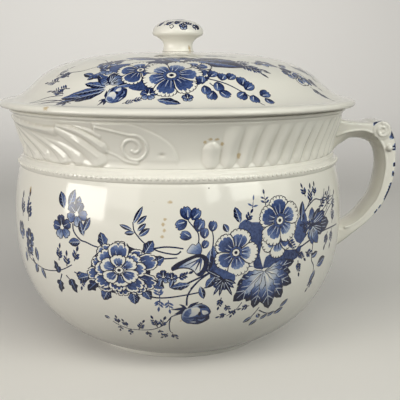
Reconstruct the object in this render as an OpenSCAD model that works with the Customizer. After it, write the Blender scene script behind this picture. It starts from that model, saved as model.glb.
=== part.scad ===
// Covered chamber pot in glazed earthenware: a round-bellied bowl on a foot ring, a moulded border
// round its neck, a scrolled strap handle, and a loose domed lid with a mushroom knob.
// Lengths are millimetres and angles are degrees. The foot ring stands on z = 0, the pot's axis is z,
// and the handle points along +x.

/* [Belly] */
// Largest radius of the belly
belly_r = 107.4; // [95:0.1:120]
// Height of the belly's widest point
belly_z = 88; // [80:0.5:95]
// How far below the foot ring's top the lower curve would close
belly_depth = 8.8; // [5:0.1:21]
// Squareness of the lower curve, where 2 is an ellipse
belly_square = 2.5; // [2:0.1:3]
// How far above its widest point the upper curve would close
belly_rise = 111; // [90:1:140]
// Thickness of the bowl's wall
wall = 6; // [4:0.5:8]
// Thickness of the bowl's floor
floor_t = 4.5; // [3:0.5:6]

/* [Foot ring] */
// Outer radius of the foot ring where it stands
foot_r = 55.7; // [48:0.1:57]
// Width of the ring that stands on the table
foot_w = 5.5; // [3:0.5:9]
// Height of the foot ring up to the belly
foot_h = 3.8; // [2.5:0.1:6]
// Depth of the hollow inside the foot ring
foot_recess = 2.6; // [1.5:0.1:4]
// How far each side of the foot ring leans
foot_draft = 1.2; // [0.2:0.1:2]

/* [Bead band] */
// Height of the band's lower edge
band_z = 117; // [112:0.5:122]
// Height of the band
band_h = 8; // [6.5:0.5:12]
// Radius of the half-round ridge that carries the beads
ridge_rad = 3.2; // [1.5:0.1:4]
// How far the ridge stands out from the belly
ridge_out = 0.6; // [0.3:0.1:4]
// Width of the small step between the band and the neck
band_lip = 1.5; // [0.5:0.1:3]

/* [Neck and rim] */
// How far the waist of the neck lies inside the belly's widest point
waist_in = 7.6; // [5:0.1:15]
// Height of the waist above the bead band
waist_up = 4.5; // [3:0.5:16]
// Height of the neck
neck_h = 26.7; // [20:0.1:32]
// Flare of the neck from the waist down to the band
low_flare = 1; // [0.5:0.1:5]
// Flare of the neck from the waist up to the rim
top_flare = 7.7; // [3:0.1:10]
// Bend of that upper flare, where 1 is a straight slope
flare_bend = 1.4; // [1:0.1:2.5]
// Height of the rim
rim_h = 2.3; // [1.8:0.1:7]
// How far the rim's lip stands out from the top of the neck
rim_out = 1.6; // [1.3:0.1:6]
// How far back from its edge the rim's lip is rounded
rim_round = 1.2; // [0.5:0.1:1.3]

/* [Neck border] */
// Thickness of the border's ground
border_ground = 0.5; // [0.4:0.1:1]
// Clear height left between the border and each end of the neck
border_margin = 0.4; // [0.2:0.1:1.5]
// Height of the gadroons above the ground
gadroon_relief = 2.4; // [1:0.1:3]
// Angle from one gadroon to the next
gadroon_pitch = 5.9; // [4:0.1:8]
// Angle from the middle of the leaves to the first gadroon
gadroon_start = 93.4; // [90:0.1:100]
// Angle that a gadroon leans from bottom to top
gadroon_lean = 3; // [0:0.5:6]
// Height of a gadroon
gadroon_h = 23.6; // [18:0.1:25]
// Height of the first, short gadroon
gadroon_short = 15.5; // [10:0.5:20]
// Height of the acanthus lobes above the ground
leaf_relief = 2.2; // [1:0.1:3]
// Radius of the border's volute
volute_r = 8.4; // [5:0.1:9.5]
// Height of the volute above the ground
volute_relief = 1.8; // [1:0.1:3]
// Height of the plain field between the leaves and the gadroons
field_relief = 0.8; // [0.4:0.1:1.5]
// Clearance between the handle's root and the border
border_gap = 1.6; // [1:0.1:4]

/* [Handle] */
// Width of the strap
handle_w = 26; // [18:0.5:32]
// Squareness of the strap's section, where 2 is an ellipse
handle_square = 5; // [3:0.5:8]
// Radius of the scroll on the strap's side
scroll_r = 4.8; // [3.5:0.1:7.5]
// Thickness of the scroll's ridge
scroll_t = 2.2; // [1.6:0.1:3]
// How far the round boss under the scroll stands out
boss_out = 0.6; // [0.3:0.1:1.5]
// Radius of the pearl below the scroll
pearl_r = 2.1; // [1.2:0.1:3]
// Radius of the drop below the handle's tail
drop_r = 3.8; // [3:0.1:5]
// Width between the two ends of the drop
drop_w = 7; // [2:0.5:10]
// How far the middle of the drop stands out from the belly
drop_out = 2.2; // [1:0.1:2.7]

/* [Lid] */
// How far the lid stands out past the rim's lip
lid_overhang = 5.9; // [4:0.1:10]
// Thickness of the lid's wall
lid_t = 5; // [4:0.1:7]
// Height of the lid from its seat to its top
lid_h = 34.7; // [28:0.1:45]
// Thickness of the lid's rounded edge
edge_h = 4.2; // [3.5:0.1:6]
// Radius of the edge's lower rounding
edge_round = 1.5; // [0.8:0.1:1.7]
// How far the overhanging edge lies above the seat
edge_lift = 1.2; // [0.4:0.1:2]
// How far the bend between hollow and dome lies inside the lid's edge
bend_in = 24; // [20:0.5:30]
// Height of that bend above the seat
bend_up = 17; // [14:0.5:20]
// Depth of the locating flange below the seat
flange_h = 8; // [5:0.5:12]
// Thickness of the flange
flange_t = 4.5; // [3:0.5:6]
// Clearance between the flange and the inside of the neck's waist
flange_clear = 2; // [1:0.1:4]

/* [Knob] */
// Radius of the knob's cap
knob_r = 16.6; // [13:0.1:22]
// Height of the knob
knob_h = 20.7; // [17:0.1:28]
// Height of the cap's widest line above the lid
knob_lip = 11.8; // [9:0.1:14]
// Radius of the knob's stem
stem_r = 9.4; // [6:0.1:11]
// Radius of the stem's foot on the lid
stem_foot_r = 10.4; // [8:0.1:12.5]

/* [Hidden] */
$fn = 96;
glaze = [0.93, 0.91, 0.86];

// Gap left at a join that was stuck with slip and fired
slip_gap = 0.1;
// Steps along each kind of curve
belly_steps = 16;
shoulder_steps = 5;
cove_steps = 8;
dome_steps = 9;
arc_steps = 5;

// Depth of the belly's lower curve from its widest point to where it would close
lower_depth = belly_z - foot_h + belly_depth;
// Heights that stack up the pot
neck_low_z = band_z + band_h;
waist_z = neck_low_z + waist_up;
neck_top_z = neck_low_z + neck_h;
rim_z = neck_top_z + rim_h;
lid_top_z = rim_z + lid_h;
// Radii that follow from the belly
waist_r = belly_r - waist_in;
neck_low_r = waist_r + low_flare;
neck_top_r = waist_r + top_flare;
rim_r = neck_top_r + rim_out;
mouth_r = neck_top_r - wall;
lid_r = rim_r + lid_overhang;
flange_r = waist_r - wall - flange_clear;

// Points on an arc about [cx, cz]
function arc(cx, cz, r, from, to) =
    [for (i = [0 : arc_steps])
        let (a = from + (to - from) * i / arc_steps)
        [cx + r * cos(a), cz + r * sin(a)]];

// Points on a cubic curve, without its first point
function cubic(a, b, c, d, steps) =
    [for (i = [1 : steps])
        let (t = i / steps, s = 1 - t)
        a * s * s * s + b * 3 * s * s * t + c * 3 * s * t * t + d * t * t * t];

// A path moved towards the axis, square to itself
function inset(path, d) =
    [for (i = [0 : len(path) - 1])
        let (t = path[min(i + 1, len(path) - 1)] - path[max(i - 1, 0)])
        path[i] + d * [-t[1], t[0]] / norm(t)];

// Radius of the upper belly at height z
function shoulder_radius(z) = belly_r * sqrt(1 - pow((z - belly_z) / belly_rise, 2));

// Radius of the lower belly at height z
function lower_radius(z) =
    belly_r * pow(1 - pow((belly_z - z) / lower_depth, belly_square), 1 / belly_square);

// Radius of the neck's hollow at height z
function neck_radius(z) =
    z < waist_z
    ? waist_r + low_flare * pow((waist_z - z) / waist_up, 2)
    : waist_r + top_flare * pow((z - waist_z) / (neck_top_z - waist_z), flare_bend);

// Outline of the belly from the foot ring to the bead band
belly_turn = asin(pow((belly_z - foot_h) / lower_depth, belly_square / 2));
belly_path = concat(
    [for (i = [0 : belly_steps])
        let (u = belly_turn * (1 - i / belly_steps))
        [belly_r * pow(cos(u), 2 / belly_square), belly_z - lower_depth * pow(sin(u), 2 / belly_square)]],
    [for (i = [1 : shoulder_steps])
        let (z = belly_z + (band_z - belly_z) * i / shoulder_steps)
        [shoulder_radius(z), z]]);

// Outline of the bead band: a half-round ridge and a slope up to a small step
ridge_r = shoulder_radius(band_z) + ridge_out - ridge_rad;
ridge_from = -50;
ridge_to = 60;
band_path = concat(
    arc(ridge_r, band_z + ridge_rad, ridge_rad, ridge_from, ridge_to),
    [[neck_low_r + band_lip, neck_low_z - band_lip / 2]]);

// Heights of the neck's outline points
neck_heights = [for (i = [0 : cove_steps]) neck_low_z + neck_h * i / cove_steps];

// Outline of the rim's lip, from the neck to its flat top: half an ellipse above a slope
lip_rise = 0.4;
lip_from = -80;
lip_half = (rim_h - lip_rise) / 2;
rim_path = [for (p = arc(0, 0, 1, lip_from, 90))
    [rim_r - rim_round + rim_round * p[0], rim_z - lip_half + lip_half * p[1]]];

outside_path = concat(belly_path, band_path, [for (z = neck_heights) [neck_radius(z), z]], rim_path);

// Outline of the bowl's hollow, from the belly's foot up to the mouth
hollow_path = concat(
    inset(belly_path, wall),
    [for (z = neck_heights) [neck_radius(z) - wall, z]],
    [[mouth_r, rim_z - rim_round], [mouth_r + rim_round, rim_z]]);
floor_z = foot_recess + floor_t;
floor_r = hollow_path[0][0];
// The floor rounds up into the wall over this width, and is pulled up in its outer part
floor_round = 22;
floor_pull = 2;
floor_path = cubic([floor_r - floor_round, floor_z], [floor_r - floor_round / 2, floor_z],
    [floor_r - floor_round / 4, floor_z + floor_pull], hollow_path[0], arc_steps);

function reversed(path) = [for (i = [len(path) - 1 : -1 : 0]) path[i]];

module bowl() {
    color(glaze)
    rotate_extrude()
    polygon(concat(
        [[0, foot_recess],
         [foot_r - foot_w - foot_draft, foot_recess],
         [foot_r - foot_w, 0],
         [foot_r, 0],
         [foot_r + foot_draft, foot_h]],
        outside_path,
        reversed(hollow_path),
        reversed([for (i = [0 : len(floor_path) - 2]) floor_path[i]]),
        [[floor_r - floor_round, floor_z], [0, floor_z]]));
}

// The bowl's outside as a solid, grown by the gap of a join
module bowl_envelope() {
    rotate_extrude()
    polygon(concat(
        [[0, foot_h]],
        [for (p = outside_path) [p[0] + slip_gap, p[1]]],
        [[0, rim_z]]));
}

// Relief of the neck border. Its place is an angle a from the side opposite the handle, the same both
// ways round, and a height h above the bead band. Lengths along the border are taken at the waist.
along = PI * waist_r / 180;
border_h = neck_h - 2 * border_margin;

// Each acanthus lobe: angle and height of its root, angle and height of its tip, half its width at the
// tip, and how far it lies over the others
leaf_lobes = [
    [0, 22, 0, 1.2, 5, 0],
    [7, 22.5, 18.5, 1.6, 5, 0],
    [15, 21.5, 32, 1.8, 5.4, 0],
    [23, 20.5, 39.5, 2.4, 5.2, 0],
    [33, 17.5, 47, 2.4, 5.6, 0],
    [42, 13, 52, 4.6, 4, 0],
    [40, 21, 60.2, 2.8, 6, 0.5],
    [47, 22, 63.4, 10.2, 4, 0.6],
    [20, 23, 46.3, 20, 2.4, 0.4]];
// Half width of a lobe at its root, as a share of that at its tip
lobe_root = 0.45;
// Start of the stem that ends in the volute, as an angle and a height
stem_start = [57, 22.6];
// Middle of the volute, the direction in which it starts, its turns and its steps
volute_a = 72;
volute_up = 11.6;
volute_from = 105;
volute_turns = 1.8;
volute_steps = 16;
// Half width of the volute's ridge, and the share of its radius that is left at its inner end
volute_w = 2;
volute_eye = 0.2;
// Right edge of the plain field at the band, and how far its top bends back
field_edge = 86;
field_bend = 15;

// Rounded cross-section: 1 in the middle, 0 from the edge outwards
swell_power = 0.75;
function swell(x) = pow(max(0, 1 - x * x), swell_power);

// Distance from q to a path, as a share of a half width that grows from w0 to w1 along the path
function nearness(path, w0, w1, q) =
    min([for (i = [0 : len(path) - 2])
        let (way = path[i + 1] - path[i],
             t = min(1, max(0, (q - path[i]) * way / (way * way))))
        norm(q - path[i] - way * t) / (w0 + (w1 - w0) * (i + t) / (len(path) - 1))]);

function gadroon(a, h) =
    let (s = (a - gadroon_start - gadroon_lean * (h / border_h - 0.5)) / gadroon_pitch,
         index = floor(s),
         top = index == 0 ? gadroon_short : gadroon_h,
         end = gadroon_pitch * along / 2)
    index < 0 ? 0
    : gadroon_relief * swell(2 * (s - index) - 1) * swell(max(0, end - h, end - (top - h)) / end);

function lobe(p, q) =
    let (height = swell(nearness([[p[0] * along, p[1]], [p[2] * along, p[3]]], p[4] * lobe_root, p[4], q)))
    leaf_relief * height + p[5] * min(1, 3 * height);

volute_path = concat(
    [[stem_start[0] * along, stem_start[1]]],
    [for (i = [0 : volute_steps])
        let (t = i / volute_steps,
             r = volute_r * (1 - (1 - volute_eye) * t),
             u = volute_from - 360 * volute_turns * t)
        [volute_a * along + r * cos(u), volute_up + r * sin(u)]]);

function volute(q) = volute_relief * swell(nearness(volute_path, volute_w, volute_w * lobe_root, q));

function field(a, h) =
    let (edge = field_edge - field_bend * pow(h / border_h, 3))
    a < edge && a > volute_a - field_bend ? field_relief : 0;

function relief(a, h) =
    let (q = [a * along, h])
    max(concat([gadroon(a, h), volute(q), field(a, h)], [for (p = leaf_lobes) lobe(p, q)]));

border_columns = 300;
border_rows = 13;
border_back_rows = 2;

// One upright section of the border: its front from bottom to top, then its back from top to bottom
function border_section(angle) =
    let (a = abs(angle - 180), z0 = neck_low_z + border_margin)
    concat(
        [for (j = [0 : border_rows])
            let (h = border_h * j / border_rows,
                 edge = j == 0 || j == border_rows ? 0 : relief(a, h),
                 r = neck_radius(z0 + h) + slip_gap + border_ground + edge)
            [r * cos(angle), r * sin(angle), z0 + h]],
        [for (j = [border_back_rows : -1 : 0])
            let (h = border_h * j / border_back_rows, r = neck_radius(z0 + h) + slip_gap)
            [r * cos(angle), r * sin(angle), z0 + h]]);

// A solid through rings of points that all have the same count, closed at both ends
module loft(rings) {
    n = len(rings[0]);
    last = len(rings) - 1;
    sides = [for (i = [0 : last - 1]) for (k = [0 : n - 1])
        let (a = i * n + k, b = i * n + (k + 1) % n)
        each [[a, a + n, b + n], [a, b + n, b]]];
    polyhedron(
        points = [for (ring = rings) each ring],
        faces = concat(sides, [[for (k = [0 : n - 1]) k]], [[for (k = [n - 1 : -1 : 0]) last * n + k]]));
}

module neck_border() {
    start = asin((handle_w / 2 + border_gap) / waist_r);
    color(glaze)
    loft([for (i = [0 : border_columns])
        reversed(border_section(start + (360 - 2 * start) * i / border_columns))]);
}

// Height of the handle's root above the bead band and its thickness, both from the neck's height
root_place = 0.543;
root_share = 0.9;
root_up = band_h + neck_h * root_place;
root_t = neck_h * root_share;
// Spine of the handle: distance out from the belly's widest point, height above the bead band,
// thickness, how much narrower than the strap it is, and how far its inner face bulges
handle_spine = [
    [-12, root_up, root_t, 0, root_t / 2],
    [-3.6, 23, 14, 0, 11],
    [2.4, 22.9, 8.8, 0, 8],
    [8, 23, 6.8, 0, 5.6],
    [15.4, 22.8, 5.6, 0, 5.8],
    [20.4, 22.2, 7.5, 0, 5.4],
    [24.5, 21.8, 10.4, 0, 5],
    [29.6, 18.2, 11.8, 0, 4],
    [33.2, 11, 10.2, 0, 3.4],
    [34.4, 3.3, 8.3, 0, 3],
    [34.8, -3.5, 7.8, 0, 3],
    [33.9, -11.4, 7.6, 0, 3],
    [32.1, -18.8, 6.9, 0, 3],
    [28.6, -27.2, 6.2, 0, 2.8],
    [24.1, -33.5, 6.2, 0, 2.6],
    [18.7, -39.5, 5.6, 0, 2.4],
    [13.3, -44, 5.7, 0, 2.2],
    [8.2, -47.2, 7, 0, 2],
    [2.9, -50, 10.5, 2, 1],
    [-4.6, -53, 16, 4, 0]];
handle_steps = 3;
handle_sides = 24;
// Places on the handle's side, from the belly's widest point and the bead band
scroll_at = [27.6, 20.4];
pearl_at = [32.7, 8.7];
// Turns and steps of the scroll, the direction in which it starts, and the boss's radius as a share of it
scroll_turns = 1.6;
scroll_steps = 26;
scroll_from = 100;
scroll_sides = 6;
boss_share = 1.3;
// Height of the drop below the tail, from the bead band
drop_down = -71.3;
// The tail on the belly: height of its upper end from the bead band, thickness, width there, and steps
tail_up = -51;
tail_t = 4;
tail_w = 14;
tail_steps = 8;
tail_sides = 12;
// Sides of the small round balls
ball_sides = 24;

// Point at t past point i of a smooth curve through all points of p
function through(p, i, t) =
    let (a = p[max(i - 1, 0)], b = p[i], c = p[i + 1], d = p[min(i + 2, len(p) - 1)])
    (2 * b + (c - a) * t + (2 * a - 5 * b + 4 * c - d) * t * t + (3 * b - a - 3 * c + d) * t * t * t) / 2;

function power(x, e) = sign(x) * pow(abs(x), 2 / e);

// A rounded section at point i of a path of [out, up, thickness, width, inner bulge], about y = side
function section(path, i, square, sides, side) =
    let (t = path[min(i + 1, len(path) - 1)] - path[max(i - 1, 0)],
         across = [-t[1], t[0]] / norm([t[0], t[1]]),
         p = path[i])
    [for (k = [0 : sides - 1])
        let (u = 360 * k / sides,
             w = power(cos(u), square),
             v = p[2] / 2 * power(sin(u), square) - (sin(u) < 0 ? p[4] * (1 - w * w) : 0))
        [belly_r + p[0] + across[0] * v,
         side + p[3] / 2 * w,
         band_z + p[1] + across[1] * v]];

module strap() {
    path = [for (i = [0 : len(handle_spine) - 2]) for (k = [0 : handle_steps - 1])
        let (p = through(handle_spine, i, k / handle_steps))
        [p[0], p[1], p[2], handle_w - p[3], p[4]]];
    loft([for (i = [0 : len(path) - 1]) section(path, i, handle_square, handle_sides, 0)]);
}

// The spiral ridge on one side of the strap
module scroll(side) {
    path = [for (i = [0 : scroll_steps])
        let (t = i / scroll_steps,
             a = scroll_from - 360 * scroll_turns * t,
             r = scroll_r - (scroll_r - scroll_t / 2) * t)
        [scroll_at[0] + r * cos(a), scroll_at[1] + r * sin(a), scroll_t, scroll_t, 0]];
    loft([for (i = [0 : scroll_steps]) section(path, i, 2, scroll_sides, side)]);
}

// The narrow tail that runs down the belly from the strap to the drop
module tail() {
    path = [for (i = [0 : tail_steps])
        let (t = i / tail_steps, up = tail_up + (drop_down - tail_up) * t)
        [lower_radius(band_z + up) - belly_r, up, tail_t, tail_w + (drop_w - tail_w) * t, 0]];
    loft([for (i = [0 : tail_steps]) section(path, i, 2, tail_sides, 0)]);
}

module handle() {
    boss_w = handle_w + 2 * boss_out;
    drop_z = band_z + drop_down;
    color(glaze)
    difference() {
        union() {
            strap();
            tail();
            translate([belly_r + scroll_at[0], boss_w / 2, band_z + scroll_at[1]])
            rotate([90, 0, 0])
            cylinder(h = boss_w, r = scroll_r * boss_share, $fn = 2 * ball_sides);
            for (side = [-boss_w / 2, boss_w / 2]) {
                scroll(side);
                translate([belly_r + pearl_at[0], side, band_z + pearl_at[1]])
                sphere(pearl_r, $fn = ball_sides);
            }
            hull()
            for (side = [-drop_w / 2, drop_w / 2])
                translate([lower_radius(drop_z) + drop_out, side, drop_z])
                sphere(drop_r, $fn = ball_sides);
        }
        bowl_envelope();
    }
}

// Outline of the lid's upper side, from its edge to the flat that carries the knob. The pulls are shares
// of the edge's height, and of the width and height of the bend.
edge_top_r = lid_r - edge_h;
edge_z = rim_z + edge_lift;
edge_pull = [0.4, 0.75];
cove_start = 0.27;
cove_end = [0.25, -0.35];
dome_start = 0.62;
// Radius where the dome flattens, as a share of the belly's, and the flat left round the knob
dome_flat = 0.54;
knob_margin = 1.5;
edge_path = concat(
    arc(lid_r - edge_round, edge_z + edge_round, edge_round, -90, 0),
    cubic([lid_r, edge_z + edge_round], [lid_r, edge_z + edge_h * edge_pull[1]],
        [lid_r - edge_h * edge_pull[0], edge_z + edge_h], [edge_top_r, edge_z + edge_h], arc_steps));
bend = [lid_r - bend_in, rim_z + bend_up];
knob_seat_r = stem_foot_r + knob_margin;
dome_path = concat(
    cubic([edge_top_r, edge_z + edge_h], [edge_top_r - bend_in * cove_start, edge_z + edge_h],
        bend + [bend_in * cove_end[0], bend_up * cove_end[1]], bend, dome_steps),
    cubic(bend, bend + [-1, 1] * bend_up * dome_start, [belly_r * dome_flat, lid_top_z],
        [knob_seat_r, lid_top_z], dome_steps));

module lid() {
    seat_r = rim_r - rim_round;
    under_path = [for (p = inset(dome_path, lid_t)) if (p[0] < flange_r - flange_t && p[0] > knob_seat_r) p];
    color(glaze)
    rotate_extrude()
    polygon(concat(
        [[flange_r - flange_t, rim_z - flange_h],
         [flange_r, rim_z - flange_h],
         [flange_r, rim_z],
         [seat_r, rim_z],
         [seat_r, edge_z]],
        edge_path,
        dome_path,
        [[0, lid_top_z], [0, lid_top_z - lid_t]],
        reversed(under_path)));
}

// Shape of the knob: heights as shares of the lip's height, radii as shares of the cap's radius
stem_top = 0.36;
stem_pull = [0.12, 0.3];
flare_pull = 0.6;
under_pull = [0.75, 0.75];
under_edge = [0.97, 0.9];
cap_square = [2.3, 2.1];

module knob() {
    cap_h = knob_h - knob_lip;
    top = [stem_r, knob_lip * stem_top];
    color(glaze)
    translate([0, 0, lid_top_z])
    rotate_extrude()
    polygon(concat(
        [[0, 0], [stem_foot_r, 0]],
        cubic([stem_foot_r, 0], [stem_r, knob_lip * stem_pull[0]], [stem_r, knob_lip * stem_pull[1]],
            top, arc_steps),
        cubic(top, [stem_r, knob_lip * flare_pull], [knob_r * under_pull[0], knob_lip * under_pull[1]],
            [knob_r * under_edge[0], knob_lip * under_edge[1]], arc_steps),
        [for (i = [0 : dome_steps])
            let (u = 90 * i / dome_steps)
            [knob_r * power(cos(u), cap_square[0]), knob_lip + cap_h * power(sin(u), cap_square[1])]]));
}

bowl();
neck_border();
handle();
lid();
knob();
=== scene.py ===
"""Dresses a covered chamber pot: ivory glaze, moulded border, bead row, scrolled handle and blue floral print.

Lengths are millimetres and angles are degrees; meshes are written in metres. An angle on the pot is
counted from the side that faces the camera, to the right.
"""

import logging
import math
from dataclasses import dataclass
from enum import Enum
from typing import Any, Callable, Iterable, Sequence

import bpy
import numpy as np
from bpy.types import Material, Mesh, Node, NodeSocket, NodeTree, Object
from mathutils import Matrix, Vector
from mathutils.geometry import delaunay_2d_cdt
from numpy.linalg import norm


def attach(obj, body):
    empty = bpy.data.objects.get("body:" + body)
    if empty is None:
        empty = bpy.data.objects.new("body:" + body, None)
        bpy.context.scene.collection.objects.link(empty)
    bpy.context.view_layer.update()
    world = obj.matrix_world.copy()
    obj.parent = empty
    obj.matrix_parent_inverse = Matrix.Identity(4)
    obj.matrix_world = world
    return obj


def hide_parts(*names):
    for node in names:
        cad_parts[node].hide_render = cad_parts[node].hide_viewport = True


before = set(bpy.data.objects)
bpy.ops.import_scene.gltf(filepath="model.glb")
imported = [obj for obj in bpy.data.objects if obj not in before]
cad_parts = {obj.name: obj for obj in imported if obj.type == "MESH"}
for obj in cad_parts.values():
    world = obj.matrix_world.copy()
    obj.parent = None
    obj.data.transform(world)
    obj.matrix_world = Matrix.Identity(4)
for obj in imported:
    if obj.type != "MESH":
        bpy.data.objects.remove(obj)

LOG = logging.getLogger("chamber_pot")
MM = 0.001
# Direction on the pot, from the handle's +X, that the print's angles are counted from
FACING = 266.0
# Gap in millimetres between the print and the edges of its sheet
SHORT = 0.15
# Least length that a direction is divided by
TINY = 1e-9
# Width of a petal's veins in millimetres
VEIN = 0.5

Points = np.ndarray
Pairs = Sequence[tuple[float, float]]


def add_node(tree: NodeTree, kind: str, inputs: dict[Any, Any] | None = None, **settings: Any) -> Any:
    """Adds one node to a tree.

    Args:
        tree: The shader or geometry tree.
        kind: Blender's name for the kind of node.
        inputs: Values, output sockets, or nodes whose first live output is meant, by the input's name or number.
        settings: The node's own properties.

    Returns:
        The new node.
    """
    made = tree.nodes.new(kind)
    for name, value in settings.items():
        setattr(made, name, value)
    for key, value in (inputs or {}).items():
        if isinstance(value, Node):
            value = next(socket for socket in value.outputs if socket.enabled)
        if isinstance(value, NodeSocket):
            tree.links.new(value, made.inputs[key])
        else:
            made.inputs[key].default_value = value
    return made


def linear(code: str) -> tuple[float, float, float, float]:
    """Turns an sRGB hex colour into linear red, green, blue and a full alpha."""
    parts = [int(code[i : i + 2], 16) / 255 for i in (1, 3, 5)]
    return (*[c / 12.92 if c <= 0.04045 else ((c + 0.055) / 1.055) ** 2.4 for c in parts], 1.0)


def smooth_path(points: Pairs | Points, steps: int = 6) -> Points:
    """Runs a smooth curve through points.

    Args:
        points: The points that the curve passes.
        steps: Steps between one point and the next.

    Returns:
        The curve's points, with the same number of coordinates.
    """
    p = np.asarray(points, float)
    if len(p) < 3:
        return np.linspace(p[0], p[-1], steps + 1)
    ends = np.vstack([2 * p[0] - p[1], p, 2 * p[-1] - p[-2]])
    t = np.linspace(0, 1, steps, endpoint=False)[:, None]
    parts = []
    for a, b, c, d in zip(ends[:-3], ends[1:-2], ends[2:-1], ends[3:]):
        parts.append((2 * b + (c - a) * t + (2 * a - 5 * b + 4 * c - d) * t**2 + (3 * b - a - 3 * c + d) * t**3) / 2)
    return np.vstack([*parts, p[-1:]])


def cubic(a: Any, b: Any, c: Any, d: Any, steps: int) -> Points:
    """Runs a cubic curve between two points, without its first point.

    Args:
        a: The start.
        b: What pulls the start.
        c: What pulls the end.
        d: The end.
        steps: Count of points.

    Returns:
        The points.
    """
    t = np.linspace(0, 1, steps + 1)[1:, None]
    s = 1 - t
    return np.array(a) * s**3 + np.array(b) * 3 * s * s * t + np.array(c) * 3 * s * t * t + np.array(d) * t**3


def arc(cx: float, cz: float, r: float, start: float, end: float, steps: int = 10) -> Points:
    """Points on an arc about (cx, cz) from one angle to another."""
    a = np.radians(np.linspace(start, end, steps + 1))
    return np.column_stack([cx + r * np.cos(a), cz + r * np.sin(a)])


def rotated(points: Any, angle: float) -> Points:
    """Points in a plane, turned about its origin by an angle in degrees.

    Args:
        points: The points.
        angle: The turn, counter-clockwise.

    Returns:
        The turned points.
    """
    a = math.radians(angle)
    turn = np.array([[math.cos(a), math.sin(a)], [-math.sin(a), math.cos(a)]])
    return np.asarray(points, float) @ turn


def ray(start: float, end: float, angle: float) -> Points:
    """Both ends of a straight line outwards from the origin, between two distances."""
    return rotated([[start, 0], [end, 0]], angle)


def circle(count: int) -> Points:
    """Points on a circle of radius 1, evenly spaced from the x axis."""
    a = np.radians(np.arange(count) * 360 / count)
    return np.column_stack([np.cos(a), np.sin(a)])


def ringed(rows: Points, count: int) -> Points:
    """Points round the z axis, so many for each row of a radius and a height."""
    ring = circle(count)
    return np.vstack([np.column_stack([r * ring, np.full(count, z)]) for r, z in rows])


def left_of(path: Points) -> Points:
    """Unit vectors to the left of a path in a plane, one for each of its points."""
    way = np.gradient(path, axis=0)
    return np.column_stack([-way[:, 1], way[:, 0]]) / np.maximum(norm(way, axis=1), TINY)[:, None]


def lengths_of(path: Points) -> Points:
    """Length along a path at each of its points."""
    return np.concatenate([[0], np.cumsum(norm(np.diff(path, axis=0), axis=1))])


def linked(name: str, data: Any) -> Object:
    """Makes an object at the origin, linked to the scene.

    Args:
        name: Its name.
        data: Its mesh, camera or lamp.

    Returns:
        The object.
    """
    made = bpy.data.objects.new(name, data)
    bpy.context.scene.collection.objects.link(made)
    return made


def settled(piece: Object) -> Mesh:
    """Gives a piece the plain mesh that its modifiers make, and removes them.

    Args:
        piece: The piece.

    Returns:
        The new mesh.
    """
    mesh = bpy.data.meshes.new_from_object(piece.evaluated_get(bpy.context.evaluated_depsgraph_get()))
    piece.modifiers.clear()
    piece.data = mesh
    return mesh


def softened(path: Any, radius: float, steps: int = 4) -> Points:
    """Rounds the corners of an open path.

    Args:
        path: The path's corner points.
        radius: How far from a corner its rounding starts, where the sides are long enough.
        steps: Steps in each rounding.

    Returns:
        The rounded path, with the same ends.
    """
    p = np.asarray(path, float)
    parts = [p[:1]]
    for a, b, c in zip(p[:-2], p[1:-1], p[2:]):
        near = min(radius, norm(a - b) / 2.2)
        far = min(radius, norm(c - b) / 2.2)
        start = b + (a - b) / norm(a - b) * near
        end = b + (c - b) / norm(c - b) * far
        t = np.linspace(0, 1, steps + 1)[:, None]
        parts.append(start * (1 - t) ** 2 + 2 * b * t * (1 - t) + end * t**2)
    return np.vstack([*parts, p[-1:]])


class Tone(float, Enum):
    """How strongly a printed area holds the blue, from bare glaze to a solid line."""

    PAPER = 0.0
    HAZE = 0.2
    WASH = 0.38
    MID = 0.56
    DEEP = 0.8
    LINE = 1.0


PAPER, HAZE, WASH, MID, DEEP, LINE = Tone


@dataclass
class Patch:
    """One printed area: its outline, its tone, and the tone at the far end of an axis where it fades."""

    outline: Points
    tone: float
    far: float
    axis: Points

    def tones(self, points: Points) -> Points:
        """The tone at each of some points.

        Args:
            points: The points.

        Returns:
            Their tones.
        """
        start, end = self.axis
        way = end - start
        t = np.clip((points - start) @ way / max(way @ way, TINY), 0, 1)
        return self.tone + (self.far - self.tone) * t


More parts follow.
